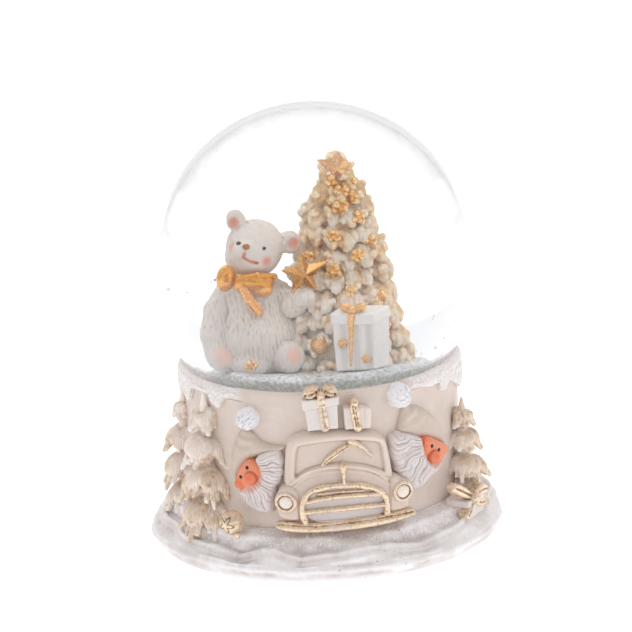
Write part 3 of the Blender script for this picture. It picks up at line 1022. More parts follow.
col = mixc(col, srgb(94, 52, 20), groove * 0.85)
piece("ground_bauble_sculpt", sk, col, gilt * (1 - groove * 0.5), GILT, ["ground_bauble"])

lo, hi = [np.array(v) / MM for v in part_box("ground_gift")]
phi_g = 46.0
gc = (lo + hi) / 2
R = rot(0, 0, math.degrees(math.atan2(gc[0], -gc[1])))
size = (hi[2] - lo[2]) / 2
clay = Clay(lo - 1.5, hi + 1.5, 0.22)
clay.block((gc[0] * 0.96, gc[1] * 0.96, gc[2] - 0.9), (5.2, 3.8, size - 1.1), R, 0.5, 0.3)
clay.block((gc[0] * 0.96, gc[1] * 0.96, gc[2] + size - 2.9), (5.7, 4.3, 1.1), R, 0.4, 0.2)
P, Q = clay.mesh()
sk = Skin(P, Q).relax(1)
sk.push((fbm(sk.P, 1.4, 61) - 0.5) * 0.35)
b = sk.bulge(10)
col = mixc(np.broadcast_to(srgb(229, 220, 215), (len(b), 3)), srgb(176, 160, 152), sstep(0.0, -0.1, b) * 0.7)
piece("ground_gift_sculpt", sk, col, 0.0, RESIN, ["ground_gift"])

bow = Relief((29, 9.5), (58, 25.5), 0.2, 12.6, 6.6)
U, V = bow.U, bow.V
h = np.full(U.shape, -3.0)
for line, wa, wb, top in (([(43.4, 16.0), (38.9, 19.2), (35.2, 21.6)], 0.8, 1.7, 9.4), ([(43.4, 16.0), (48.4, 16.8), (53.0, 15.4)], 0.8, 1.6, 9.6),
                          ([(43.0, 15.4), (41.2, 13.0), (39.8, 11.4)], 0.8, 1.2, 10.0), ([(44.0, 15.2), (46.6, 13.2), (49.4, 12.6)], 0.8, 1.2, 10.0)):
    d, t = along(U, V, chaikin(line, 2, False))
    w = wa + (wb - wa) * np.sin(np.clip(t, 0, 1) * 2.2)
    h = np.maximum(h, np.where(d < w, top - 1.2 + 1.5 * np.sqrt(np.clip(1 - (d / w) ** 2, 0, 1)) - 0.7 * np.exp(-(d / 0.42) ** 2), -3.0))
q = np.hypot(U - 43.4, V - 15.9)
h = np.maximum(h, np.where(q < 1.7, 9.9 + 1.6 * np.sqrt(np.clip(1 - (q / 1.7) ** 2, 0, 1)), -3.0))
bow.H = h
sk = bow.skin().relax(1)
col, gilt = gilded(sk, 0.95, 0.25, 44)
piece("ground_gift_bow_sculpt", sk, col, gilt, GILT, ["ground_gift_bow"])

# ------------------------------------------------------------------ the bear
clay = Clay((-30, -14, 60.0), (2.5, 12, 84.5), 0.26)
clay.ball((-14.6, 0.2, 69.4), (10.4, 8.6, 9.4), k=1.0)
clay.ball((-14.4, 0.8, 77.4), (8.2, 6.8, 7.4), k=3.0)
clay.ball((-14.6, -3.6, 68.6), (8.0, 6.2, 7.8), k=1.6)
clay.line([(-20.4, 0.4, 80.6), (-23.6, -0.6, 76.0), (-25.0, -2.0, 70.4), (-24.6, -3.6, 65.6)], 3.0, 3.3, 0.8)
clay.ball((-24.4, -4.6, 64.8), (3.3, 3.4, 3.2), k=0.8)
clay.line([(-8.6, -0.2, 79.2), (-6.0, -4.4, 77.0), (-3.8, -7.2, 79.4)], 2.9, 2.4, 0.8)
clay.ball((-3.4, -7.8, 79.8), (2.4, 2.1, 2.3), k=0.5)
clay.line([(-10.6, -2.4, 65.6), (-8.4, -7.6, 65.0)], 4.2, 3.6, 0.8)
clay.ball((-7.8, -8.8, 65.6), (3.7, 2.5, 3.8), rot(0, 0, 22), 0.7)
clay.ball((-17.6, -7.2, 63.4), (4.6, 3.2, 2.8), k=1.4)
P, Q = clay.mesh()
sk = Skin(P, Q).relax(2)
pad = sstep(2.5, 1.1, np.linalg.norm((sk.P - np.array([-7.2, -11.0, 66.0])) * [1, 0.5, 0.9], axis=1))
paw = sstep(3.6, 1.4, np.linalg.norm((sk.P - np.array([-24.4, -7.6, 65.6])) * [1, 0.6, 0.9], axis=1))
stroke = np.sin(sk.P[:, 0] * 6.4 + 6.0 * (fbm(sk.P * [1, 1, 0.35], 2.0, 71) - 0.5) + sk.P[:, 1] * 2.2)
cut_ = fbm(sk.P * [1.0, 1.0, 0.28], 0.75, 73, 2) - 0.5
soft = 1 - np.maximum(pad, paw)
sk.push((0.055 * stroke + 0.85 * cut_) * soft * 0.6)
b = sk.bulge(8)
col = mixc(np.broadcast_to(srgb(238, 227, 218), (len(b), 3)), srgb(160, 146, 134), sstep(0.02, -0.09, b) * 0.6)
col = mixc(col, srgb(214, 204, 204), sstep(72.0, 62.0, sk.P[:, 2]) * 0.25)
col = mixc(col, srgb(246, 196, 172), pad * 0.9)
col = mixc(col, srgb(246, 200, 176), paw * 0.8)
piece("bear_body_sculpt", sk, col, 0.0, FIGURE, ["bear_body"])

HC = np.array([-13.8, 0.4, 90.8])
clay = Clay((-24.0, -10.0, 81.0), (-1.0, 10.0, 102.0), 0.22)
clay.ball(HC, (6.8, 6.3, 6.4), k=0.6)
clay.ball(HC + [-1.2, -1.8, -2.4], (6.2, 5.0, 4.4), k=1.6)
clay.ball(HC + [-3.2, -4.6, 0.4], (3.3, 2.6, 2.7), k=1.0)
clay.ball((-18.0, 1.2, 97.2), (2.4, 1.5, 2.9), rot(0, -20, -24), 0.7)
clay.ball((-5.6, 0.0, 91.2), (3.1, 1.6, 2.7), rot(0, 40, 14), 0.8)
clay.ball((-18.7, -0.3, 97.2), (1.4, 0.8, 1.9), rot(0, -20, -24), 0.3, "cut")
clay.ball((-5.0, -1.5, 91.0), (1.8, 0.8, 1.7), rot(0, 40, 14), 0.3, "cut")
mouth = [(-17.6, -7.0, 91.7), (-18.0, -6.4, 90.2), (-16.6, -6.6, 89.2), (-14.8, -6.2, 88.6), (-13.4, -5.6, 88.5)]
clay.line(mouth, 0.26, None, 0.3, "cut")
P, Q = clay.mesh()
sk = Skin(P, Q).relax(2)
nose_c, eye_r, eye_l = np.array([-17.2, -6.9, 93.0]), np.array([-12.6, -5.4, 91.9]), np.array([-18.9, -4.6, 93.5])
face_zone = np.exp(-(np.linalg.norm((sk.P - [-15.2, -6, 89.6]) * [1, 0.7, 1], axis=1) / 4.6) ** 4)
cut_ = fbm(sk.P, 0.7, 75, 2) - 0.5
sk.push(cut_ * 0.34 * (1 - face_zone))
nd = np.linalg.norm((sk.P - nose_c) * [0.72, 0.6, 1.0], axis=1)
sk.push(0.45 * sstep(1.0, 0.5, nd))
b = sk.bulge(8)
col = mixc(np.broadcast_to(srgb(241, 230, 221), (len(b), 3)), srgb(168, 154, 144), sstep(0.0, -0.10, b) * 0.7)


def dab(col, c, r, colour, amount=1.0, stretch=(1, 1, 1), hard=0.35):
    d = np.linalg.norm((sk.P - np.array(c)) * np.array(stretch), axis=1)
    return mixc(col, colour, sstep(r, r * (1 - hard), d) * amount)


col = dab(col, (-12.4, -5.2, 88.8), 2.0, srgb(240, 130, 98), 0.85, hard=0.7)
col = dab(col, (-20.2, -2.8, 92.0), 1.9, srgb(246, 164, 136), 0.7, hard=0.7)
col = dab(col, (-18.9, -0.4, 97.1), 1.7, srgb(244, 150, 120), 0.85, (1, 0.5, 0.85), 0.6)
col = dab(col, (-4.6, -1.3, 91.0), 1.8, srgb(244, 160, 132), 0.85, (1, 0.5, 0.85), 0.6)
mask_mouth = np.zeros(len(sk.P))
for i in range(len(mouth) - 1):
    p0, p1 = np.array(mouth[i]), np.array(mouth[i + 1])
    e = p1 - p0
    t = np.clip(((sk.P - p0) @ e) / (e @ e), 0, 1)
    mask_mouth = np.maximum(mask_mouth, sstep(0.56, 0.26, np.linalg.norm(sk.P - p0 - t[:, None] * e, axis=1)))
col = mixc(col, srgb(236, 132, 96), mask_mouth * 0.9)
col = mixc(col, srgb(176, 112, 56), sstep(0.95, 0.7, nd))
col = dab(col, eye_r, 0.55, BLACK, 1.0, (1, 0.6, 1), 0.2)
col = dab(col, eye_l, 0.62, BLACK, 1.0, (0.7, 0.5, 1.35), 0.2)
gl = sstep(0.95, 0.7, nd) * 0.6
piece("bear_head_sculpt", sk, col, gl, FIGURE, ["bear_head"])

SATIN = painted("bow_satin_gold", rough=0.34, gold_rough=0.24, bumpy=0.04, mottling=0.03, metal=0.8, coat=0.35)


def warm(sk, light=srgb(252, 206, 130), mid=srgb(234, 158, 66), dark=srgb(120, 62, 18), times=10, lo=-0.10, hi=0.14):
    b = sk.bulge(times)
    col = mixc(np.broadcast_to(mid, (len(b), 3)), light, sstep(0.0, hi, b))
    return mixc(col, dark, sstep(0.0, lo, b) * 0.85)


clay = Clay((-26.5, -13, 74.0), (-6.5, -2.0, 90.0), 0.2)
K = np.array([-19.4, -7.0, 84.3])
clay.ball(K, (1.4, 1.3, 2.1), rot(0, 12, 0), 0.25)
clay.ball(K + [-3.0, 0.9, 1.0], (2.6, 1.6, 3.3), rot(0, 14, 18), 0.3)
clay.ball(K + [-3.4, -0.9, 1.4], (0.9, 0.6, 1.4), rot(0, 14, 18), 0.4, "cut")
clay.line([K + [0.6, 0.2, 0.7], K + [4.6, -0.3, 1.3], K + [9.0, 1.0, 0.6]], 1.0, 0.8, 0.4)
clay.ball(K + [3.6, -0.2, -0.2], (3.6, 1.6, 1.9), rot(0, 12, -6), 0.35)
clay.ball(K + [5.4, 0.1, -1.6], (3.0, 1.4, 2.5), rot(0, 30, -6), 0.35)
clay.ball(K + [6.6, 0.4, -0.6], (2.2, 1.2, 1.8), rot(0, -20, -6), 0.35)
clay.line([K + [1.2, -2.0, 0.1], K + [3.6, -2.4, -0.8], K + [6.0, -1.9, -2.6]], 0.22, 0.32, 0.3, "cut")
clay.line([K + [1.6, -2.0, 0.8], K + [4.6, -2.1, 0.6], K + [7.4, -1.2, 0.0]], 0.2, 0.26, 0.3, "cut")
clay.line([K + [0.2, -0.4, -0.8], K + [2.0, -1.2, -4.4], K + [4.4, -1.0, -7.6]], 0.8, 1.0, 0.25)
clay.line([K + [0.9, -0.2, -0.6], K + [2.9, -1.0, -4.0], K + [5.0, -0.8, -6.6]], 0.6, 0.7, 0.2)
P, Q = clay.mesh()
sk = Skin(P, Q).relax(1)
sk.push(0.5 * (fbm(sk.P, 3.2, 77, 1) - 0.5))
piece("bear_bow_sculpt", sk, warm(sk), 0.75, SATIN, ["bear_bow"])


def star_piece(name, c, R, r_out, r_in, thick, nodes, lengths, turn, step=0.16, back=0.6):
    """five faceted points, each a kite with a ridge down its middle"""
    c = np.array(c, float)
    clay = Clay(c - r_out * 1.4 - 1.2, c + r_out * 1.4 + 1.2, step)
    ex, ey, ez = R[:, 0], R[:, 1], R[:, 2]
    front, rear = c - ey * thick, c + ey * thick * back
    for i in range(5):
        a = math.radians(turn + 72.0 * i)
        arm = lambda q, r: c + (ex * math.cos(q) + ez * math.sin(q)) * r
        tip, left, right_ = arm(a, r_out * lengths[i]), arm(a + 0.6283, r_in), arm(a - 0.6283, r_in)
        mid = (c * 2 + tip + left + right_) / 5
        planes = []
        for p0, p1, p2 in ((front, left, tip), (front, tip, right_), (rear, tip, left), (rear, right_, tip), (front, rear, left), (front, rear, right_)):
            nrm = np.cross(p1 - p0, p2 - p0)
            nrm = nrm / np.linalg.norm(nrm)
            if nrm @ (mid - p0) > 0:
                nrm = -nrm
            planes.append((p0, nrm))
        clay.convex(planes, c, r_out * 1.4 + 1, 0.05)
    P, Q = clay.mesh()
    sk = Skin(P, Q)
    b = sk.bulge(5)
    rel = (sk.P - c) / r_out
    tone = 0.5 + 0.5 * np.sin(np.arctan2(rel @ ez, rel @ ex) * 5.0 + 1.0)
    side_of = np.sin(np.arctan2(rel @ ez, rel @ ex) * 5.0 - math.radians(turn) * 5.0)
    col = mixc(np.broadcast_to(srgb(218, 148, 66), (len(b), 3)), srgb(248, 204, 132), sstep(-0.2, 0.5, side_of) * 0.45)
    col = mixc(col, srgb(252, 224, 176), sstep(0.02, 0.07, b) * 0.8)
    col = mixc(col, srgb(142, 82, 36), sstep(0.0, -0.05, b) * 0.8 + sstep(0.1, -0.7, side_of) * 0.25)
    piece(name, sk, col, 0.85, SATIN, nodes)


star_piece("held_star_sculpt", (-3.9, -8.8, 85.6), rot(-4, 0, 8), 6.5, 2.7, 2.2, ["held_star"], [0.98, 0.92, 0.9, 0.95, 1.22], 92)
star_piece("tree_star_sculpt", (6.8, 1.4, 108.6), rot(-6, 0, -4), 5.3, 2.7, 2.4, ["tree_star"], [0.85, 1.08, 0.85, 0.85, 0.72], 84)

# ------------------------------------------------------------------ the big fir in the ball and its ornaments
prof_z = [61, 66, 70, 77, 83, 88, 93, 98, 103, 107]
prof_r = [15.4, 14.2, 13.4, 12.2, 11.0, 9.9, 8.9, 7.6, 5.6, 3.6]
tiers = [(z, float(np.interp(z + 2.0, prof_z, prof_r)), 5.2) for z in np.arange(60.6, 105.0, 4.9)]
fir_tree("fir_figure_sculpt", (5.0, 4.6), tiers, ["fir_figure"], 0.3, 5, 12, lean=(1.6, -0.8), cream=True, material=FIGURE)

rng = np.random.RandomState(12)
clay = Clay((-24, -18, 59), (24, 14, 110), 0.27)
tufts = [(7.6, 1.2, 107.2, 1.95), (5.4, 0.4, 105.2, 2.0), (9.4, 1.2, 104.6, 1.9), (7.2, -0.6, 103.4, 2.0), (5.2, -0.8, 100.9, 1.7), (9.6, -0.4, 101.2, 1.8), (6.5, -4.2, 100.2, 2.1), (4.4, -5.6, 93.6, 1.9), (9.8, -5.4, 88.4, 1.8), (3.6, -7.6, 85.4, 2.0), (7.4, -8.6, 80.6, 1.6), (14.4, -4.0, 77.4, 1.8), (10.6, -2.6, 97.0, 1.7), (15.0, -2.4, 70.6, 1.6), (-0.6, -7.4, 67.6, 2.2), (-18.4, -12.4, 63.8, 1.9), (13.2, -1.8, 90.6, 1.6), (-1.6, -4.0, 88.6, 1.5)]
for x, y, z, r in tufts:
    n = 9 if r < 2.15 else 1
    if n == 1:
        clay.ball((x, y, z), r, k=0.1)
        continue
    clay.ball((x, y, z), r * 0.55, k=0.2)
    for k in range(n):
        a = 6.283 * k / n + rng.rand()
        clay.ball((x + r * 0.62 * math.cos(a), y + rng.uniform(-0.9, 0.5), z + r * 0.62 * math.sin(a)), r * np.array([rng.uniform(0.24, 0.5), rng.uniform(0.24, 0.5), rng.uniform(0.24, 0.5)]), rot(*(rng.rand(3) * 180)), 0.2)
P, Q = clay.mesh()
sk = Skin(P, Q).relax(1)
piece("figure_baubles_sculpt", sk, warm(sk, srgb(250, 214, 150), srgb(226, 160, 80), srgb(130, 74, 28), 8), 0.85, SATIN, ["figure_baubles"])

# ---- the present in the ball
GR = rot(0, 0, -24)
g0 = np.array([9.2, -12.2, 61.5])
clay = Clay((-1, -21, 60.6), (19.5, -3, 79), 0.22)
clay.block(g0 + [0, 0, 6.6], (5.6, 4.5, 6.4), GR, 0.5, 0.2, taper=0.04)
P, Q = clay.mesh()
sk = Skin(P, Q).relax(1)
sk.push((fbm(sk.P, 1.3, 91) - 0.5) * 0.25)
b = sk.bulge(10)
loc = (sk.P - g0) @ GR
flute = 0.5 + 0.5 * np.sin(loc[:, 0] * 1.9 + 0.8)
sk.push(-0.35 * flute * sstep(-3.6, -4.2, loc[:, 1]) * sstep(5.2, 4.6, np.abs(loc[:, 0])))
band = sstep(0.35, 0.65, flute) * sstep(-3.9, -4.3, loc[:, 1])
col = mixc(np.broadcast_to(srgb(250, 244, 240), (len(b), 3)), srgb(216, 206, 202), band * 0.45)
col = mixc(col, srgb(150, 132, 122), sstep(0.0, -0.1, b) * 0.7)
piece("gift_box_sculpt", sk, col, 0.0, FIGURE, ["gift_box"])
clay = Clay((-1, -21, 70.0), (19.5, -3, 80), 0.22)
clay.block(g0 + [0, 0, 13.6], (6.0, 4.9, 1.6), GR, 0.6, 0.2)
P, Q = clay.mesh()
sk = Skin(P, Q).relax(1)
sk.push((fbm(sk.P, 1.3, 92) - 0.5) * 0.25)
b = sk.bulge(10)
col = mixc(np.broadcast_to(srgb(252, 247, 243), (len(b), 3)), srgb(168, 150, 138), sstep(0.0, -0.1, b) * 0.7)
piece("gift_lid_sculpt", sk, col, 0.0, FIGURE, ["gift_lid"])
clay = Clay((-2, -21, 60.6), (19.5, -3, 80.5), 0.2)


def gl_(p):
    return g0 + GR @ np.array(p, float)


clay.line([gl_((-0.3, -5.0, 14.6)), gl_((-0.6, -5.0, 12.0)), gl_((-1.0, -4.6, 7.0)), gl_((-1.3, -4.6, 1.6))], 0.95, 0.30, 0.2)
clay.line([gl_((-0.2, -4.6, 15.2)), gl_((0.0, 0.0, 15.3)), gl_((0.0, 4.4, 15.1))], 0.5, 0.5, 0.2)
clay.ball(gl_((-1.9, -4.2, 16.3)), (1.9, 1.0, 1.2), GR @ rot(0, 24, 0), 0.2)
clay.ball(gl_((1.7, -4.2, 16.3)), (1.9, 1.0, 1.2), GR @ rot(0, -24, 0), 0.2)
clay.ball(gl_((-0.1, -5.0, 15.9)), 1.15, k=0.2)
for fx, fz in ((-3.2, 7.4), (3.0, 3.2)):
    for k in range(5):
        a = 6.283 * k / 5 + 0.3
        clay.ball(gl_((fx + 0.75 * math.cos(a), -4.75, fz + 0.75 * math.sin(a))), (0.62, 0.4, 0.62), GR, 0.12)
    clay.ball(gl_((fx, -4.95, fz)), 0.5, k=0.1)
P, Q = clay.mesh()
sk = Skin(P, Q).relax(1)
piece("gift_ribbon_sculpt", sk, warm(sk, srgb(250, 214, 150), srgb(230, 168, 92), srgb(134, 76, 30), 8), 0.8, SATIN, ["gift_ribbon"])


# ------------------------------------------------------------------ the snow floor in the ball
def disc_floor(name, r_max, z_fn, n_phi, n_r, bottom, nodes, material, paint, n_side=44):
    """a closed lumpy disc with a finely divided side"""
    phi = np.linspace(0, 2 * math.pi, n_phi, endpoint=False)
    rs = np.concatenate([r_max * np.linspace(0.02, 1.0, n_r), np.full(n_side, r_max), [0.5]])
    PH, RS = np.meshgrid(phi, rs, indexing="ij")
    X, Y = RS * np.sin(PH), -RS * np.cos(PH)
    Z = z_fn(X, Y, RS)
    drop = np.linspace(0, 1, n_side + 1)[1:]
    edge = Z[:, n_r - 1:n_r]
    Z[:, n_r:n_r + n_side] = edge * (1 - drop) + bottom * drop
    Z[:, -1] = bottom
    m_ = len(rs)
    P = np.concatenate([np.stack([X, Y, Z], -1).reshape(-1, 3), [[0, 0, float(Z[:, 0].mean())], [0, 0, bottom]]])
    n = n_phi * m_
    i, j = np.meshgrid(np.arange(n_phi), np.arange(m_ - 1), indexing="ij")
    i2 = (i + 1) % n_phi
    t = np.stack([i * m_ + j, i * m_ + j + 1, i2 * m_ + j + 1, i2 * m_ + j], -1).reshape(-1, 4)
    half = np.arange(0, n_phi, 2)
    cap = np.stack([np.full(len(half), n), half * m_, ((half + 1) % n_phi) * m_, ((half + 2) % n_phi) * m_], -1)
    capb = np.stack([np.full(len(half), n + 1), ((half + 2) % n_phi) * m_ + m_ - 1, ((half + 1) % n_phi) * m_ + m_ - 1, half * m_ + m_ - 1], -1)
    Q = np.concatenate([t, cap, capb])
    a, b, c_, e = (P[Q[:, k]] for k in range(4))
    if (np.einsum("ij,ij->i", a, np.cross(b, c_)) + np.einsum("ij,ij->i", a, np.cross(c_, e))).sum() < 0:
        Q = Q[:, ::-1].copy()
    sk = Skin(P, Q)
    sk.push(0.5 * (fbm(sk.P, 0.9, 105) - 0.5) * (np.hypot(sk.P[:, 0], sk.P[:, 1]) > r_max - 0.3) * (sk.P[:, 2] > bottom + 0.5))
    sk.P[:, :2] *= np.minimum(1.0, (r_max + 0.15) / np.maximum(np.hypot(sk.P[:, 0], sk.P[:, 1]), 1e-6))[:, None]
    sk.renormal()
    col, gilt = paint(sk)
    return piece(name, sk, col, gilt, material, nodes)


def heap(X, Y, RS):
    P3 = np.stack([X.ravel(), Y.ravel(), np.zeros(X.size)], 1)
    z = 61.4 + 0.9 * (fbm(P3, 6.0, 101).reshape(X.shape) - 0.5) * 2 + 0.7 * (fbm(P3, 1.1, 102).reshape(X.shape) - 0.5)
    return z - 1.9 * np.clip((RS - 22.5) / 3.9, 0, 1) ** 2


def floor_paint(sk):
    g = fbm(sk.P, 0.55, 103, 1)
    col = mixc(np.broadcast_to(srgb(222, 224, 225), (len(g), 3)), srgb(250, 251, 252), sstep(0.45, 0.75, g))
    col = mixc(col, srgb(176, 184, 188), sstep(0.42, 0.22, g) * 0.8)
    side = sstep(60.4, 58.8, sk.P[:, 2])
    col = mixc(col, mixc(np.broadcast_to(srgb(192, 199, 192), (len(g), 3)), srgb(222, 227, 220), sstep(0.4, 0.7, g)), side)
    return col, 0.0


disc_floor("figure_plinth_sculpt", 26.2, heap, 420, 90, 47.6, ["figure_plinth"], SNOWMAT, floor_paint)

# settled flakes round the plinth: a ring that fills the bottom of the ball up to its level
def settled_profile(PH, S):
    zero = np.zeros(PH.shape)
    top = 53.3 + wave(PH, 0.0, 0.25, 111)
    def ball_r(z):
        return np.sqrt(np.maximum(47.6 ** 2 - (z - 85.5) ** 2, 1.0))
    pts = [(26.5 + zero, 47.8 + zero), (ball_r(47.9 + zero), 47.9 + zero), (ball_r(49.6 + zero), 49.6 + zero), (ball_r(51.4 + zero), 51.4 + zero), (ball_r(top - 0.3), top - 0.3), (ball_r(top) - 0.5, top),
           (33.5 + zero, top + 0.3), (30.0 + zero, top + 0.6), (26.5 + zero, top + 0.9), (26.5 + zero, 50.5 + zero)]
    return section(S, pts)


def settled_paint(sk):
    sk.push(0.35 * (fbm(sk.P, 0.7, 113) - 0.5) * (sk.N[:, 2] > 0.4))
    g = fbm(sk.P, 0.6, 115, 1)
    col = mixc(np.broadcast_to(srgb(218, 218, 222), (len(g), 3)), srgb(250, 250, 252), sstep(0.45, 0.75, g))
    return mixc(col, srgb(176, 178, 186), sstep(0.40, 0.22, g) * 0.6), 0.0


ring_mesh("settled_snow_sculpt", settled_profile, 600, 60, ["settled_snow"], SNOWMAT, settled_paint)

# loose flakes: thin curled chips
pts_f = []
rng = np.random.RandomState(77)
verts, quads = [], []
while len(pts_f) < 44:
    a, rr, zz = rng.rand() * 6.283, 40 * math.sqrt(rng.rand()), 62.4 + 26 * rng.rand() ** 3.2
    p = np.array([rr * math.cos(a), rr * math.sin(a), zz])
    if np.linalg.norm(p - GC) > 44 or np.hypot(p[0] - 5.5, p[1] - 4.4) < 17 - 0.25 * (zz - 61) or np.linalg.norm((p - [-14.5, -2, 78]) / [12, 11, 22]) < 1 or np.hypot(p[0] - 9.2, p[1] + 12.6) < 10:
        continue
    pts_f.append(p)
    M = rot(*(rng.rand(3) * 360))
    w, t_ = rng.uniform(0.2, 0.36), 0.05
    base_i = len(verts)
    for lz in (-t_, t_):
        for ix in range(3):
            for iy in range(3):
                x, y = (ix - 1) * w * (0.8 if iy == 1 else 1), (iy - 1) * w
                verts.append(p + M @ np.array([x, y, lz + 0.12 * (x * x + y * y) / w]))
    def vid(l, ix, iy):
        return base_i + l * 9 + ix * 3 + iy
    for ix in range(2):
        for iy in range(2):
            quads.append([vid(1, ix, iy), vid(1, ix + 1, iy), vid(1, ix + 1, iy + 1), vid(1, ix, iy + 1)])
            quads.append([vid(0, ix, iy), vid(0, ix, iy + 1), vid(0, ix + 1, iy + 1), vid(0, ix + 1, iy)])
    for s in range(2):
        quads.append([vid(0, s, 0), vid(0, s + 1, 0), vid(1, s + 1, 0), vid(1, s, 0)])
        quads.append([vid(0, s + 1, 2), vid(0, s, 2), vid(1, s, 2), vid(1, s + 1, 2)])
        quads.append([vid(0, 0, s + 1), vid(0, 0, s), vid(1, 0, s), vid(1, 0, s + 1)])
        quads.append([vid(0, 2, s), vid(0, 2, s + 1), vid(1, 2, s + 1), vid(1, 2, s)])
sk = Skin(np.array(verts), np.array(quads, dtype=np.int64))
piece("loose_flakes_chips", sk, mixc(np.broadcast_to(srgb(250, 252, 255), (len(verts), 3)), srgb(206, 214, 226), fbm(sk.P, 1.0, 7)), 0.0, FIGURE, ["loose_flakes"], smooth=False)

# ------------------------------------------------------------------ glass and water
def turned(name, prof, n_phi, nodes, material, smooth=True):
    """closed section turned about z: prof is a list of (r, z), the ends on the axis allowed"""
    prof = np.array(prof, float)
    phi = np.linspace(0, 2 * math.pi, n_phi, endpoint=False)
    ring = [(r, z) for r, z in prof]
    P, idx = [], []
    for r, z in ring:
        if r < 1e-6:
            idx.append([len(P)] * n_phi)
            P.append((0, 0, z))
        else:
            idx.append(list(range(len(P), len(P) + n_phi)))
            P.extend(zip(r * np.sin(phi), -r * np.cos(phi), [z] * n_phi))
    faces = []
    m = len(ring)
    closed = ring[0][0] > 1e-6
    for k in range(m if closed else m - 1):
        a, b = idx[k], idx[(k + 1) % m]
        for i in range(n_phi):
            j = (i + 1) % n_phi
            f = [a[i], a[j], b[j], b[i]]
            f = list(dict.fromkeys(f))
            if len(f) >= 3:
                faces.append(f)
    me = bpy.data.meshes.new(name)
    me.from_pydata([tuple(np.array(p) * MM) for p in P], [], faces)
    me.update()
    vol = 0.0
    Pn = np.array(P)
    for f in faces[:: max(1, len(faces) // 4000)]:
        vol += float(np.dot(Pn[f[0]] - [0, 0, Pn[:, 2].mean()], np.cross(Pn[f[1]] - [0, 0, Pn[:, 2].mean()], Pn[f[2]] - [0, 0, Pn[:, 2].mean()])))
    if vol < 0:
        me.flip_normals()
    me.polygons.foreach_set("use_smooth", np.full(len(me.polygons), smooth))
    me.materials.append(material)
    ob = bpy.data.objects.new(name, me)
    scene.collection.objects.link(ob)
    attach(ob, BASE)
    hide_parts(*nodes)
    ob.visible_shadow = False
    return ob


def clear(name, ior, tint, density, rough_detail):
    mat = bpy.data.materials.new(name)
    nt, bsdf = nodes_of(mat)
    bsdf.inputs["Transmission Weight"].default_value = 1.0
    bsdf.inputs["IOR"].default_value = ior
    vec = coords(nt)
    n1 = noise_node(nt, vec, 40.0, 2.0)
    link(nt, ramp(nt, n1, 0.3, 0.7, 0.0, rough_detail), bsdf.inputs["Roughness"])
    shade = add(nt, "ShaderNodeMix")
    shade.data_type = "RGBA"
    link(nt, n1, shade.inputs["Factor"])
    shade.inputs["A"].default_value = (1, 1, 1, 1)
    shade.inputs["B"].default_value = (0.985, 0.988, 0.992, 1)
    link(nt, shade.outputs["Result"], bsdf.inputs["Base Color"])
    if density:
        vol = add(nt, "ShaderNodeVolumeAbsorption")
        vol.inputs["Color"].default_value = (*tint, 1)
        vol.inputs["Density"].default_value = density
        link(nt, vol.outputs["Volume"], nt.nodes["Material Output"].inputs["Volume"])
    return mat


GLASS = clear("clear_polished_glass", 1.5, (0.84, 0.83, 0.89), 15.0, 0.004)
WATER = clear("clear_water", 1.333, (0.90, 0.94, 0.95), 1.2, 0.0)
R0 = 50.0
t_out = np.linspace(math.radians(90), -math.asin((85.5 - 49.6) / 49.98), 150)
outer = [(max(R0 * math.cos(t), 0.0), 85.5 + R0 * math.sin(t)) for t in t_out]
outer[0] = (0.0, 135.5)
z_join = outer[-1][1]
outer = [p for p in outer if not (p[1] < 85.5 and p[0] < 29.7)]
neck = [(29.5, 44.6), (29.5, 41.6), (30.6, 41.0), (31.0, 40.4), (31.0, 39.0), (27.1, 39.0), (27.1, 42.0)]
Ri = 48.0
zi = math.sqrt(Ri ** 2 - 27.1 ** 2)
t_in = np.linspace(-math.asin(zi / Ri), math.radians(90), 150)
inner = [(max(Ri * math.cos(t), 0.0), 85.5 + Ri * math.sin(t)) for t in t_in]
inner[-1] = (0.0, 133.5)
turned("glass_globe_blown", outer + neck + inner, 220, ["glass_globe"], GLASS)
Rw = 47.9
t_w = np.linspace(math.radians(90), -math.asin((85.5 - 47.75) / Rw), 140)
wat = [(max(Rw * math.cos(t), 0.0), 85.5 + Rw * math.sin(t)) for t in t_w]
wat[0] = (0.0, 85.5 + Rw)
turned("globe_liquid_fill", wat + [(27.0, 47.72), (0.0, 47.72)], 200, ["globe_liquid"], WATER)


# ------------------------------------------------------------------ materials for the CAD nodes that stay in view
def kept(name, colour_a, colour_b, scale, rough, metal=0.0, bumpy=0.3, dist=0.0001, stretch=None, sheen=0.0):
    mat = bpy.data.materials.new(name)
    nt, bsdf = nodes_of(mat)
    vec = coords(nt)
    if stretch:
        mp = add(nt, "ShaderNodeMapping")
        mp.inputs["Scale"].default_value = stretch
        link(nt, vec, mp.inputs["Vector"])
        vec = mp.outputs["Vector"]
    n1 = noise_node(nt, vec, scale, 4.0, 0.6)
    n2 = noise_node(nt, vec, scale * 6, 3.0, 0.6)
    m = add(nt, "ShaderNodeMix")
    m.data_type = "RGBA"
    link(nt, ramp(nt, n1, 0.3, 0.7, 0.0, 1.0), m.inputs["Factor"])
    m.inputs["A"].default_value = (*colour_a, 1)
    m.inputs["B"].default_value = (*colour_b, 1)
    link(nt, m.outputs["Result"], bsdf.inputs["Base Color"])
    bsdf.inputs["Metallic"].default_value = metal
    link(nt, ramp(nt, n2, 0.3, 0.7, max(rough - 0.08, 0.02), min(rough + 0.08, 1.0)), bsdf.inputs["Roughness"])
    if sheen:
        bsdf.inputs["Sheen Weight"].default_value = sheen
    bump(nt, bsdf, n2, bumpy, dist)
    return mat


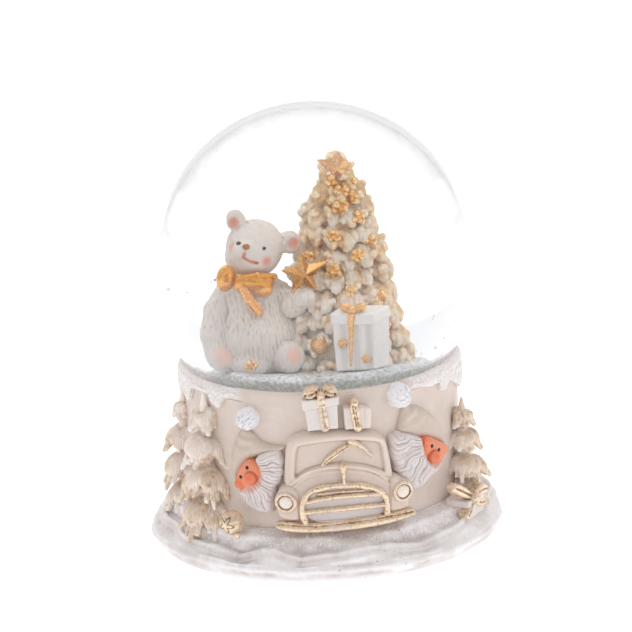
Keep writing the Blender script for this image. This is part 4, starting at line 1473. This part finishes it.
KEPT = {
    "resin_drum": kept("resin_drum", srgb(224, 210, 201), srgb(215, 199, 189), 220.0, 0.52, 0.0, 0.28, 0.00016),
    "rubber": kept("rubber", srgb(232, 232, 228), srgb(220, 220, 216), 260.0, 0.6, 0.0, 0.2),
    "felt": kept("felt", srgb(226, 222, 214), srgb(208, 203, 194), 900.0, 0.95, 0.0, 0.9, 0.0003, None, 0.4),
    "cover_plastic": kept("cover_plastic", srgb(34, 34, 37), srgb(46, 46, 50), 500.0, 0.5, 0.0, 0.5),
    "steel": kept("steel", srgb(196, 198, 202), srgb(168, 170, 176), 300.0, 0.28, 1.0, 0.2, 0.00005, (1, 12, 1)),
    "brass": kept("brass", srgb(214, 178, 102), srgb(188, 148, 76), 300.0, 0.28, 1.0, 0.2, 0.00005),
    "zinc": kept("zinc", srgb(150, 152, 156), srgb(132, 134, 138), 300.0, 0.45, 1.0, 0.4),
    "nylon": kept("nylon", srgb(238, 235, 224), srgb(226, 222, 210), 300.0, 0.4, 0.0, 0.2),
}
slot_by_node = {p["node"]: p["material_slot"] for p in frame["record"]["subparts"]}
for node, ob in frame["nodes"].items():
    if slot_by_node.get(node) in KEPT and not ob.hide_render:
        ob.data.materials.clear()
        ob.data.materials.append(KEPT[slot_by_node[node]])

# ------------------------------------------------------------------ floor, light and camera
N = 60
xs = np.concatenate([-np.geomspace(0.02, 3.0, N)[::-1], [0.0], np.geomspace(0.02, 3.0, N)])
GX, GY = np.meshgrid(xs, xs, indexing="ij")
vert = np.stack([GX, GY, np.full(GX.shape, -0.00002)], -1).reshape(-1, 3)
n = len(xs)
fi, fj = np.meshgrid(np.arange(n - 1), np.arange(n - 1), indexing="ij")
face_idx = np.stack([fi * n + fj, (fi + 1) * n + fj, (fi + 1) * n + fj + 1, fi * n + fj + 1], -1).reshape(-1, 4)
me = bpy.data.meshes.new("studio_floor")
me.from_pydata(vert.tolist(), [], face_idx.tolist())
mat = bpy.data.materials.new("studio_paper")
nt, bsdf = nodes_of(mat)
vec = coords(nt)
paper = noise_node(nt, vec, 30.0, 4.0)
m = add(nt, "ShaderNodeMix")
m.data_type = "RGBA"
link(nt, paper, m.inputs["Factor"])
m.inputs["A"].default_value = (0.90, 0.90, 0.905, 1)
m.inputs["B"].default_value = (0.93, 0.93, 0.935, 1)
link(nt, m.outputs["Result"], bsdf.inputs["Base Color"])
bsdf.inputs["Roughness"].default_value = 0.85
bsdf.inputs["Specular IOR Level"].default_value = 0.2
bsdf.inputs["Emission Color"].default_value = (1, 1, 1, 1)
bsdf.inputs["Emission Strength"].default_value = 0.46
bump(nt, bsdf, noise_node(nt, vec, 900.0, 3.0), 0.05, 0.0001)
me.materials.append(mat)
floor = bpy.data.objects.new("studio_floor", me)
scene.collection.objects.link(floor)

world = bpy.data.worlds.new("soft_room")
scene.world = world
world.use_nodes = True
nt = world.node_tree
bg = nt.nodes["Background"]
tc = add(nt, "ShaderNodeTexCoord")
sep = add(nt, "ShaderNodeSeparateXYZ")
link(nt, tc.outputs["Generated"], sep.inputs["Vector"])
bg.inputs["Color"].default_value = (1.0, 1.0, 1.0, 1)
link(nt, ramp(nt, sep.outputs["Y"], -0.6, 0.7, 0.46, 0.92), bg.inputs["Strength"])


# wide softboxes, so their mirror images in the ball stay faint
def soft_light(name, loc, target, size, power):
    ld = bpy.data.lights.new(name, "AREA")
    ld.shape, ld.size, ld.size_y, ld.energy = "RECTANGLE", size[0], size[1], power
    ob = bpy.data.objects.new(name, ld)
    ob.location = loc
    ob.rotation_euler = (Vector(target) - Vector(loc)).to_track_quat("-Z", "Y").to_euler()
    scene.collection.objects.link(ob)
    ob.visible_camera = False
    ob.visible_glossy = False
    return ob


soft_light("key_softbox", (-0.9, -1.15, 1.4), (0, 0, 0.06), (2.4, 2.4), 7.4)
soft_light("fill_softbox", (1.4, -1.0, 0.95), (0, 0, 0.06), (1.8, 1.8), 5.6)
soft_light("top_softbox", (0.1, 0.25, 1.3), (0, 0, 0.06), (1.0, 0.8), 3.6)

a, e, roll = math.radians(-5.5), math.radians(16.0), math.radians(3.0)
back = Vector((math.sin(a) * math.cos(e), -math.cos(a) * math.cos(e), math.sin(e)))
fwd = -back
right = fwd.cross(Vector((0, 0, 1))).normalized()
up = right.cross(fwd)
target = Vector((0, 0, 0.0689)) + right * -0.0004
r2 = right * math.cos(roll) - up * math.sin(roll)
u2 = up * math.cos(roll) + right * math.sin(roll)
cam_data = bpy.data.cameras.new("photo_camera")
cam_data.lens, cam_data.sensor_width, cam_data.sensor_fit = 278.5, 36.0, "HORIZONTAL"
cam_data.clip_start, cam_data.clip_end = 0.05, 50.0
cam = bpy.data.objects.new("photo_camera", cam_data)
m3 = Matrix((r2, u2, back)).transposed()
cam.matrix_world = Matrix.Translation(target + back * 1.5) @ m3.to_4x4()
scene.collection.objects.link(cam)
scene.camera = cam
scene.view_settings.view_transform = "Standard"
